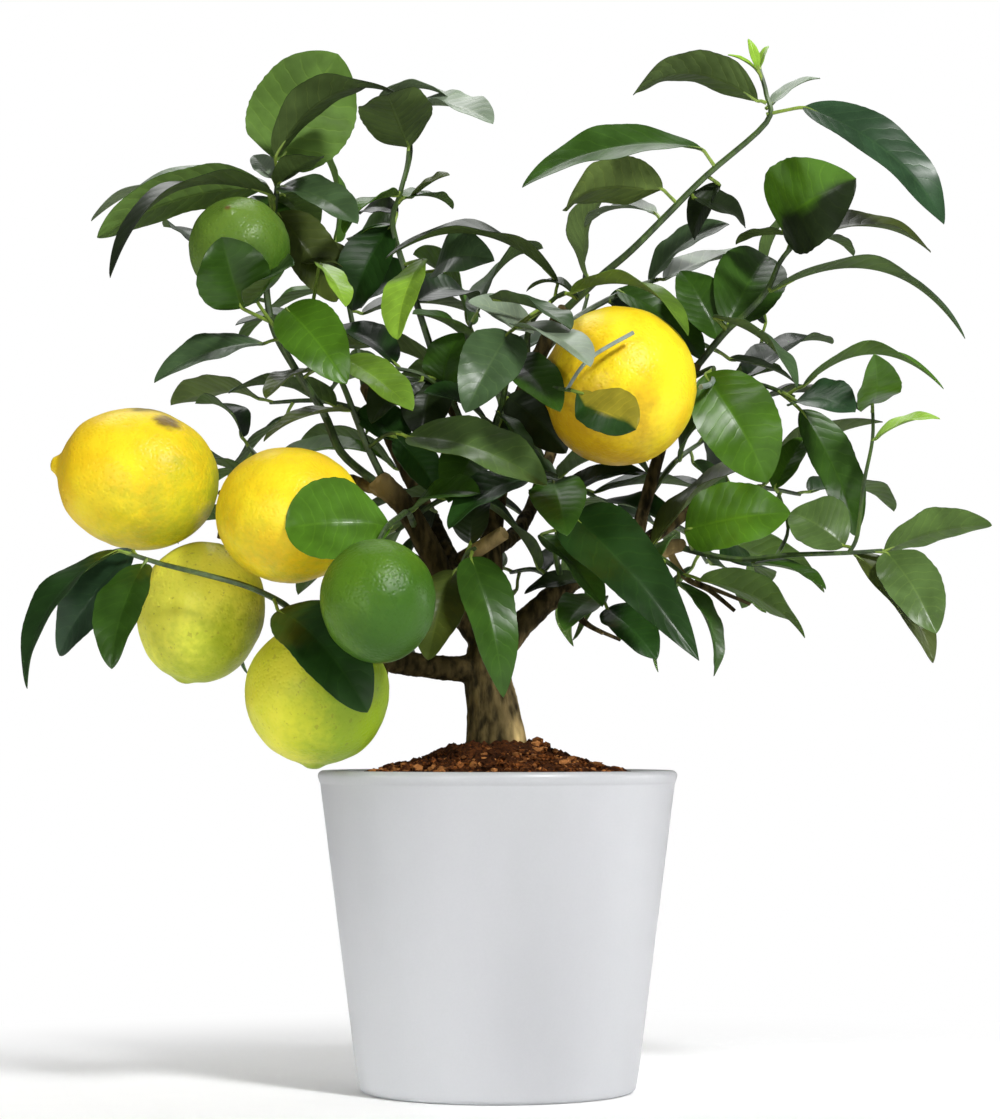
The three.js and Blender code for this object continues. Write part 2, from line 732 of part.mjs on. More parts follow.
        to: 1.1,
      },
      { points: [[-42, 407, 1], [-39, 420, 7], [-41, 434, 11]], from: 1.4, to: 1.1 },
    ],
    leaves: [
      [-40, 422, 0, -50, 447, -40, 34, 168, 2],
      [-53, 445, 17, -19, 443, 4, 13, 84, 5],
      [-38, 440, 6, -2, 433, -16, 24, 58, 4],
      [-39, 399, 4, -22, 410, -8, 13, 78, 1],
      [-45, 400, 0, -69, 383, -26, 18, 68, 5],
      [-42, 399, 0, -20, 395, 22, 16, 80, 3],
      [-47, 387, 6, -65, 379, 34, 20, 62, 3],
      [-33, 371, -8, -45, 335, -34, 20, 40, 4],
      [-28, 366, 10, -2, 371, -16, 26, 38, 6],
      [-36, 352, 10, -10, 352, 44, 28, 60, 6],
      [-40, 362, 10, -62, 350, 46, 28, 50, 5],
    ],
  },
  shoot_centre_dark: {
    stems: [
      {
        points: [
          [-14, 290, 12], [-20, 306, -2], [-32, 318, -12], [-46, 322, -14],
        ],
        from: 1.6,
        to: 1.1,
      },
    ],
    leaves: [
      [-34, 316, -14, -57, 298, -8, 24, 44, 4],
      [-46, 324, -12, -78, 340, 10, 26, 56, 5],
      [-24, 312, -6, -16, 338, -20, 24, 40, 4],
    ],
  },
  shoot_left_front: {
    stems: [
      {
        points: [
          [-37, 250, -10], [-40, 257, -34], [-44, 255, -62], [-50, 250, -84], [-55, 240, -104],
        ],
        from: 1.9,
        to: 1.3,
      },
    ],
    leaves: [
      [-48, 250, -72, -95, 249, -104, 34, 12, 5],
      [-38, 258, -30, -8, 266, -58, 24, 62, 4],
    ],
  },
  shoot_low_left: {
    stems: [
      {
        points: [
          [-90, 211, -43], [-97, 217, -52], [-112, 224, -58], [-130, 229, -56], [-150, 234, -50],
          [-166, 239, -46],
        ],
        from: 1.8,
        to: 1.2,
      },
    ],
    leaves: [
      [-170, 240, -46, -213, 179, -58, 24, 62, 12],
      [-163, 240, -42, -196, 193, -20, 24, 28, 6],
      [-158, 234, -50, -173, 188, -74, 26, 26, 5],
      [-98, 213, -68, -58, 168, -112, 26, 24, 12],
    ],
  },
};

// ---------------------------------------------------------------- shoots at the back

// Root and tip [x, y, z] of each stem; its leaves follow the golden angle round it.
const BACK_STEMS = {
  shoot_back_crown: [[29, 84, 305], [44, 128, 372]],
  shoot_back_right_low: [[21, 65, 277], [56, 126, 266]],
  shoot_back_left_crown: [[-63, 79, 321], [-78, 116, 390]],
  shoot_back_left: [[-56, 71, 307], [-110, 118, 318]],
  shoot_back_centre_low: [[-46, 60, 287], [-38, 138, 262]],
  shoot_side_right_high: [[104, 60, 277], [126, 84, 346]],
  shoot_side_right: [[94, 51, 268], [144, 96, 272]],
  shoot_side_left: [[-101, 48, 265], [-120, 100, 296]],
  shoot_side_left_low: [[-88, 42, 259], [-120, 100, 240]],
  shoot_crown: [[8, 20, 302], [-12, 66, 346]],
  shoot_back_right: [[80, 38, 254], [100, 104, 240]],
  shoot_inner_left: [[-8, 12.5, 269], [-46, 26, 250]],
  shoot_inner_right: [[3, 17, 278], [44, 24, 266]],
  shoot_inner_low: [[29, 6, 225], [6, 38, 232]],
  shoot_inner_low_right: [[58, 9, 240], [84, -6, 228]],
  shoot_inner_far_right: [[66, 14, 262], [94, 32, 292]],
  shoot_inner_top: [[-22, 10, 309], [-12, 30, 346]],
};
const GOLDEN_ANGLE = Math.PI * (3 - Math.sqrt(5));
const BACK_LEAVES = 4;
const BACK_LEAF = {
  length: 58,
  spread: 16,
  width: 0.46,
  petiole: 7,
  lean: 0.75,
  lastLean: 0.15,
  droop: 0.3,
  arch: 6,
  roll: 70,
  rollSpread: 40,
};
const TURNS = [0, 0.9, -0.9, 1.8, -1.8, 2.7];     // turns round the stem tried for a leaf
const SEED = 4711;

// A repeatable draw between 0 and 1.
function makeDraw(seed) {
  let state = seed;
  return () => {
    state = (state * 16807) % 2147483647;
    return state / 2147483647;
  };
}

// A leaf that stands out from a stem at the given turn round it.
function leafAround(stem, turn, lean, length) {
  const way = stem.along.clone().multiplyScalar(1 - lean)
    .addScaledVector(stem.across, lean * Math.cos(turn))
    .addScaledVector(stem.up, lean * Math.sin(turn))
    .normalize();
  const base = stem.point.clone().addScaledVector(way, BACK_LEAF.petiole);
  way.z -= BACK_LEAF.droop;
  return { base, tip: base.clone().addScaledVector(way.normalize(), length) };
}

function backLeaves(root, tip, draw) {
  const along = tip.clone().sub(root).normalize();
  const across = new THREE.Vector3(0, 0, 1).cross(along).normalize();
  const up = along.clone().cross(across);
  return Array.from({ length: BACK_LEAVES }, (_, index) => {
    const share = 0.28 + 0.72 * index / (BACK_LEAVES - 1);
    const stem = { along, across, up, point: root.clone().lerp(tip, share) };
    const turn = GOLDEN_ANGLE * index + draw();
    const lean = index === BACK_LEAVES - 1 ? BACK_LEAF.lastLean : BACK_LEAF.lean;
    const length = BACK_LEAF.length + BACK_LEAF.spread * (draw() - 0.5);
    return {
      places: TURNS.map((extra) => leafAround(stem, turn + extra, lean, length)),
      width: length * BACK_LEAF.width,
      roll: BACK_LEAF.roll + BACK_LEAF.rollSpread * draw(),
      arch: BACK_LEAF.arch,
      stations: COARSE_STATIONS,
    };
  });
}

// ---------------------------------------------------------------- growing the shoots

// Ways to bend a leaf clear: how far its base and its tip move along their lines of sight.
const BENDS = [
  [0, 0], [0, 10], [0, -10], [0, 20], [0, -20], [0, 30], [0, -30], [5, 15], [-5, -15],
  [8, 32], [-8, -32], [0, 42], [0, -42], [10, 50], [-10, -50], [0, 64], [0, -64],
];
const STEM_SIDES = 5;
const SITE_SPACING = 2.6;          // along a stem, between the roots of its leaf stalks
const SITE_INSET = 1.6;

// The places along a stem's middle line where a leaf stalk can root, one leaf to each.
function leafSites(line) {
  const sites = [];
  let travelled = 0;
  for (let index = 0; index + 1 < line.length; index += 1) {
    const stretch = line[index].distanceTo(line[index + 1]);
    const end = index + 2 === line.length ? stretch - SITE_INSET : stretch;
    for (let reach = SITE_SPACING * (sites.length + 1) - travelled; reach < end; reach += SITE_SPACING) {
      sites.push(line[index].clone().lerp(line[index + 1], reach / stretch));
    }
    travelled += stretch;
  }
  return sites;
}

function nearestSite(sites, point) {
  return sites.reduce((best, site) => (
    site.distanceTo(point) < best.distanceTo(point) ? site : best
  ));
}

function boxesMeet(a, b) {
  const [p, q] = [a.boundingBox(), b.boundingBox()];
  return [0, 1, 2].every((axis) => p.min[axis] <= q.max[axis] && q.min[axis] <= p.max[axis]);
}

function crosses(solid, others) {
  return others.some((other) => boxesMeet(solid, other) && !solid.intersect(other).isEmpty());
}

// Lists every shoot with its stems and leaves as points in space.
function listShoots() {
  const shoots = Object.entries(SHOOTS).map(([name, shoot]) => ({
    name,
    grown: [],
    outers: [],
    stems: [...shoot.stems, ...(shoot.stalks ?? [])].map((stem) => branchSolid(stem, STEM_SIDES, 0)),
    sites: shoot.stems.flatMap((stem) => leafSites(stem.points.map(([x, z, y]) => seen(x, z, y)))),
    leaves: shoot.leaves.map(([bx, bz, by, tx, tz, ty, width, roll, arch]) => ({
      places: [{ base: seen(bx, bz, by), tip: seen(tx, tz, ty) }],
      width,
      roll,
      arch,
      stations: width < SMALL_LEAF ? COARSE_STATIONS : FINE_STATIONS,
    })),
  }));
  const draw = makeDraw(SEED);
  for (const [name, [root, tip]] of Object.entries(BACK_STEMS)) {
    const line = [new THREE.Vector3(...root), new THREE.Vector3(...tip)];
    const bend = line[0].clone().lerp(line[1], 0.5).add(new THREE.Vector3(0, 0, 4));
    line.splice(1, 0, bend);
    shoots.push({
      name,
      grown: [],
      outers: [],
      stems: [limb(line, [2, 1.6, 1.1], STEM_SIDES)],
      sites: leafSites(line),
      leaves: backLeaves(line[0], line[2], draw),
    });
  }
  return shoots;
}

// Every way to set a leaf, the best liked first.
function placings(leaf) {
  return leaf.places.flatMap(({ base, tip }) => BENDS.map(([baseDepth, tipDepth]) => (
    { ...leaf, base: pushed(base, baseDepth), tip: pushed(tip, tipDepth) }
  )));
}

function growLeaf(sites, leaf, blocked, ownBlades) {
  const root = nearestSite(sites, leaf.places[0].base);
  for (const placed of placings(leaf)) {
    const bent = { ...placed, root };
    const outer = outerBlade(bent);
    if (crosses(outer, ownBlades) || crosses(leafSolid(bent, LEAF_CLEARANCE), blocked)) continue;
    sites.splice(sites.indexOf(root), 1);
    return { solid: leafSolid(bent, 0), outer };
  }
  return null;
}

// Gives every shoot its leaves, one after another, each bent clear of all that is there before it.
// A leaf with no clear place is left off.
function growLeaves(shoots, firm) {
  for (const shoot of shoots) {
    const others = shoots.filter((other) => other !== shoot);
    for (const leaf of shoot.leaves) {
      const blocked = [...firm, ...others.flatMap((other) => [...other.stems, ...other.grown])];
      const found = growLeaf(shoot.sites, leaf, blocked, shoot.outers);
      if (!found) continue;
      shoot.grown.push(found.solid);
      shoot.outers.push(found.outer);
    }
  }
}

function cutBy(solid, cutters) {
  return mainBody(cutters.reduce((rest, cutter) => rest.subtract(cutter), solid));
}

// ---------------------------------------------------------------- the tree

const tree = new THREE.Group();

function place(name, solid, look) {
  const mesh = new THREE.Mesh(geometryOf(solid), MATERIALS[look]);
  mesh.name = name;
  tree.add(mesh);
}

const wood = makeWood(0);
const fatWood = makeWood(CUT_SKIN);
const fruits = Object.values(FRUITS).map((fruit) => fruitSolid(fruit, 0));
const fatFruits = Object.values(FRUITS).map((fruit) => fruitSolid(fruit, CUT_SKIN));

place('pot', makePot(), 'pot');
place('soil', cutBy(makeSoil(), [fatWood]), 'soil');
place('wood', cutBy(wood, fatFruits), 'wood');
Object.entries(FRUITS).forEach(([name, fruit], index) => place(name, fruits[index], fruit.look));
const shoots = listShoots();
growLeaves(shoots, [wood, ...fruits]);
for (const shoot of shoots) {
  place(shoot.name, cutBy(joined([...shoot.stems, ...shoot.grown]), [fatWood, ...fatFruits]), 'leaf');
}

export default tree;
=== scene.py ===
"""A small lemon tree in a round white pot: glazed pot, potting mix, bark, lemons and leafy shoots.

Lengths in the tables are millimetres, and every mesh is built in metres in the shared frame: +Z up,
the origin in the middle of the pot's flat foot, and the front of the tree facing -Y.
"""

import logging
import math
import random
from dataclasses import dataclass, field
from enum import Enum, IntEnum

import bpy
import numpy as np
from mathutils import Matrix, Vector, noise
from mathutils.kdtree import KDTree


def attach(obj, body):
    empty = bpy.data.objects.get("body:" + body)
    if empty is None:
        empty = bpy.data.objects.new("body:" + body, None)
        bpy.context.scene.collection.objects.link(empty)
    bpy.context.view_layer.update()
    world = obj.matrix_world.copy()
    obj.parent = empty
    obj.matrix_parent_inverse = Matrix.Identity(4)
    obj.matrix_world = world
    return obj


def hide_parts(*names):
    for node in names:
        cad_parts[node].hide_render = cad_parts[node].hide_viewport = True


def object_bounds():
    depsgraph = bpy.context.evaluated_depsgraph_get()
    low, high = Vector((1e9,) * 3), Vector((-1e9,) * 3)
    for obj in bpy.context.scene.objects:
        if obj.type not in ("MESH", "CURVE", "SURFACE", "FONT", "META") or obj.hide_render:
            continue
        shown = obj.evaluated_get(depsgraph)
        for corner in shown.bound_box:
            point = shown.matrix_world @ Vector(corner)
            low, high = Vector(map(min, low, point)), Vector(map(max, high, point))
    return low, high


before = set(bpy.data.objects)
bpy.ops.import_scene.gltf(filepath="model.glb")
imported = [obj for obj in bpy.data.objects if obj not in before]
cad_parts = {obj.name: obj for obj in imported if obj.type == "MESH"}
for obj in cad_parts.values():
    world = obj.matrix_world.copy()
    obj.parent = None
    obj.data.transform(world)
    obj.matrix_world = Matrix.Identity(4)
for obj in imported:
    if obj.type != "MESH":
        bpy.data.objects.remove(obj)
CAD_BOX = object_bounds()
LOG = logging.getLogger("lemon_tree")

Colour = tuple[float, float, float]
Place = tuple[float, float, float]
Spot = tuple[float, float]                     # radius and height on a spun outline
Line = tuple[list[Vector], list[float]]        # points, and a radius for each
Socket = bpy.types.NodeSocket
Piece = bpy.types.Object

MM = 0.001
UP = Vector((0, 0, 1))
FRONT = Vector((0, -1, 0))

# The front of the tree was measured from one point of view. A point's x and z are read on the plane
# y = 0, and the point then lies on its line of sight at the depth y.
EYE = Vector((1.1, -1500, 158))
AIM = Vector((1.1, 0, 236))
FOCAL_LENGTH = 108.06
SENSOR_WIDTH = 36
GAP = 0.3                          # clearance between pieces that touch
BOX_MARGIN = 0.02                  # the visual model stays this far inside the solids' box
WELD = 0.01                        # points of a spun outline that are closer are merged
WHITE = (1, 1, 1, 1)

POT_HEIGHT = 142
POT_RIM_RADIUS = 80
POT_FOOT_RADIUS = 61.5
POT_FOOT_ROUND = 3
POT_WALL = 5
POT_FLOOR = 7
POT_LIP_HEIGHT = 6                 # the thin band under the rim
SOIL_EDGE_HEIGHT = 137             # where the soil meets the pot
SOIL_RISE = 21                     # from the pot's edge to the middle of the dome
SOIL_CURVE = 1.3
SOIL_HUMP_X = 19                   # a small rise beside the trunk
SOIL_HUMP_Y = -5
SOIL_HUMP_RISE = 2.6
SOIL_HUMP_SPREAD = 50
SOIL_RIPPLE = 0.6
TRUNK_FOOT_HEIGHT = 92

LEAF_FOLD = math.radians(17)
LEAF_WAVE = 0.035                  # waviness of the blade, as a share of its width
PETIOLE_RADIUS = 0.95
SITE_SPACING = 2.6                 # along a stem, between the roots of its leaf stalks
SITE_INSET = 1.6
SIDE_VEINS = 10                    # on each side of the midrib
VEIN_LEAN = 0.17                   # how far a side vein leans to the tip, as a share of the length
VEIN_BEND = 1.25
MISS_LIMIT = 1.3                   # a leaf further from its solid than this is left off
MISS_CAP = 3.0

MIX_SHARE, MIX_FIRST, MIX_SECOND = 0, 6, 7     # sockets of a mix node when it mixes colours
MIX_RESULT = 2

# Ways in which a leaf was bent clear: how far its base and tip moved along their lines of sight.
BENDS = (
    (0, 0), (0, 10), (0, -10), (0, 20), (0, -20), (0, 30), (0, -30), (5, 15), (-5, -15),
    (8, 32), (-8, -32), (0, 42), (0, -42), (10, 50), (-10, -50), (0, 64), (0, -64),
)


class Tone(Enum):
    """Colours of a leaf's upper face in linear light, from painted deep shade to painted pale
    sheen.
    """

    # DARK and DEEP hold painted shade as well as the leaves' own dark green.
    DARK = (0.012, 0.021, 0.006)
    DEEP = (0.012, 0.038, 0.006)
    MID = (0.026, 0.068, 0.007)
    BRIGHT = (0.052, 0.130, 0.008)
    # SUNLIT and LIME paint light shining through the blade; LIME is also the colour of young
    # leaves.
    SUNLIT = (0.100, 0.185, 0.018)
    LIME = (0.205, 0.360, 0.034)
    OLIVE = (0.050, 0.070, 0.012)
    # The grey, pale and blue tones paint a bluish-white sheen on the blade.
    GREY_SHEEN = (0.045, 0.082, 0.032)
    PALE = (0.180, 0.230, 0.160)
    BLUE = (0.024, 0.058, 0.024)
    MOSS = (0.075, 0.130, 0.034)
    # The gold tone paints light shining through the blade, yellow from the lemon behind it.
    GOLD = (0.220, 0.190, 0.016)


DARK, DEEP, MID, BRIGHT, SUNLIT, LIME, OLIVE, GREY_SHEEN, PALE, BLUE, MOSS, GOLD = Tone


class Ripeness(Enum):
    """How ripe a lemon looks, each with the material slot that it has in the record."""

    RIPE = ("ripe", "peel_yellow")
    # A ripe lemon whose third colour is a painted golden-brown shade.
    GOLDEN = ("golden", "peel_yellow")
    TURNING = ("turning", "peel_turning")
    # A paler turning peel, brightened as painted light for a lemon that sits in shade.
    MELLOW = ("mellow", "peel_turning")
    GREEN = ("green", "peel_green")
    PALE_GREEN = ("pale green", "peel_green")

    @property
    def slot(self) -> str:
        """Returns the slot's name."""
        return self.value[1]


@dataclass(frozen=True)
class Limb:
    """A tapering round limb.

    Points are (x, z, depth) as seen from the front; start and end are the radii at both ends, and
    radii, where given, holds one radius for each point.
    """

    points: tuple[Place, ...]
    start: float
    end: float
    radii: tuple[float, ...] = ()


@dataclass(frozen=True)
class Touch:
    """How a fine blade differs from its plain solid.

    It is wider by a factor, fuller towards its tip by a share, and moved right and up in
    millimetres. One half can take a darker tone of its own, which paints shade over that half.
    """

    wide: float = 1.0
    full: float = 0.0
    right: float = 0.0
    up: float = 0.0
    # a darker tone that paints shade over one half of the blade
    half: Tone | None = None


@dataclass(frozen=True)
class ShootPlan:
    """A leafy shoot: its stems, its leaves and the bare stalks that hold a fruit or nothing.

    A leaf is (base x, base z, base depth, tip x, tip z, tip depth, width, roll, arch, tone), and
    where its blade differs from its solid, a touch. Inner leaves are small and have no solid.
    """

    stems: tuple[Limb, ...]
    leaves: tuple[tuple, ...]
    stalks: tuple[Limb, ...] = ()
    inner: tuple[tuple, ...] = ()


@dataclass(frozen=True)
class FruitPlan:
    """A lemon's place, size and skin.

    Its centre is (x, z, depth), and its blossom end faces the way named towards. Its green side
    and greenness say where green is left on it and, on some lemons, where painted shade darkens
    it; a dark brown patch is (x, y, z, reach) in space.
    """

    centre: Place
    radius: float
    half: float
    towards: Place
    skin: Ripeness
    green_and_shade_side: Place
    green_and_shade_share: float
    nipple: float = 1.0            # how sharp the tip is, from round to drawn out
    full: float = 0.0              # how far the body fills out towards the tip
    brown_patch: tuple[float, float, float, float] | None = None


# ---- limbs and leaves of the tree

TRUNK = Limb(
    ((0, TRUNK_FOOT_HEIGHT, 0), (0, 134, 0), (-0.5, 153, 0), (-2, 170, 0),
     (-4, 181, 0), (-4, 196, 2), (-3, 214, 5)),
    11, 7,
    radii=(11, 13.5, 14.5, 12, 11, 10, 7),
)
BOUGHS = (
    Limb(((-5, 187, 0), (-30, 188, -8), (-60, 193, -22), (-77, 201, -32),
          (-93, 214, -45)), 6.5, 2.8),
    Limb(((-3, 193, 2), (-20, 220, -4), (-33, 245, -9), (-42, 260, -12),
          (-54, 272, -14)), 6.5, 4.6),
    Limb(((-2, 190, 0), (10, 206, 3), (28, 222, 6), (47, 234, 8), (72, 240, 10),
          (84, 243, 8)), 6.8, 2.6),
    Limb(((-3, 205, 4), (-2, 255, 14), (8, 300, 20), (22, 335, 14), (30, 350, 7)), 6.2, 2.6),
    Limb(((-2, 250, 13), (-14, 288, 12), (-27, 322, 8)), 4, 2.4),
    Limb(((60, 238, 9), (68, 268, 16), (78, 300, 17), (90, 324, 12)), 3.6, 2.2),
    Limb(((-3, 240, 10), (10, 250, 40), (20, 272, 65), (28, 298, 85)), 4.2, 2.6),
    Limb(((-12, 212, 0), (-26, 246, 36), (-44, 282, 60), (-60, 314, 80)), 5, 2.6),
    Limb(((50, 235, 8), (78, 252, 38), (100, 272, 60)), 3.8, 2.6),
    Limb(((-24, 228, -4), (-60, 246, 30), (-98, 262, 48)), 4, 2.6),
    Limb(((-46, 264, -12), (-70, 272, -2), (-100, 266, 0), (-121, 260, -6)), 3, 2),
)
TWIGLETS = (
    Limb(((-16, 236, -4), (-8, 241, -16), (3, 248, -24)), 3.6, 3.2),
    Limb(((-50, 190, -18), (-51, 180, -22)), 2, 1.4),
    Limb(((76, 241, 10), (84, 228, 6), (95, 222, 2), (106, 213, 0)), 1.8, 0.9),
    Limb(((88, 226, 4), (101, 221, 6), (113, 216, 6)), 1.2, 0.8),
    Limb(((30, 223, 6), (36, 210, 2), (47, 203, -4)), 1.6, 0.9),
    Limb(((35, 213, 3), (42, 206, 10), (55, 200, 12)), 1.2, 0.8),
    Limb(((-60, 193, -22), (-70, 203, -24), (-74, 214, -22)), 1.6, 0.9),
)
FRUIT_STALKS = tuple(Limb(points, 1.6, 1.3) for points in (
    ((-119, 260, -6), (-122, 265, -14), (-129, 267, -20)),
    ((-118, 260, -6), (-119, 260, -20), (-116, 259, -36)),
    ((-120, 260, -6), (-123, 252, -9), (-125, 240, -12)),
    ((-87, 209, -40), (-83, 214, -52), (-79, 203, -62)),
))
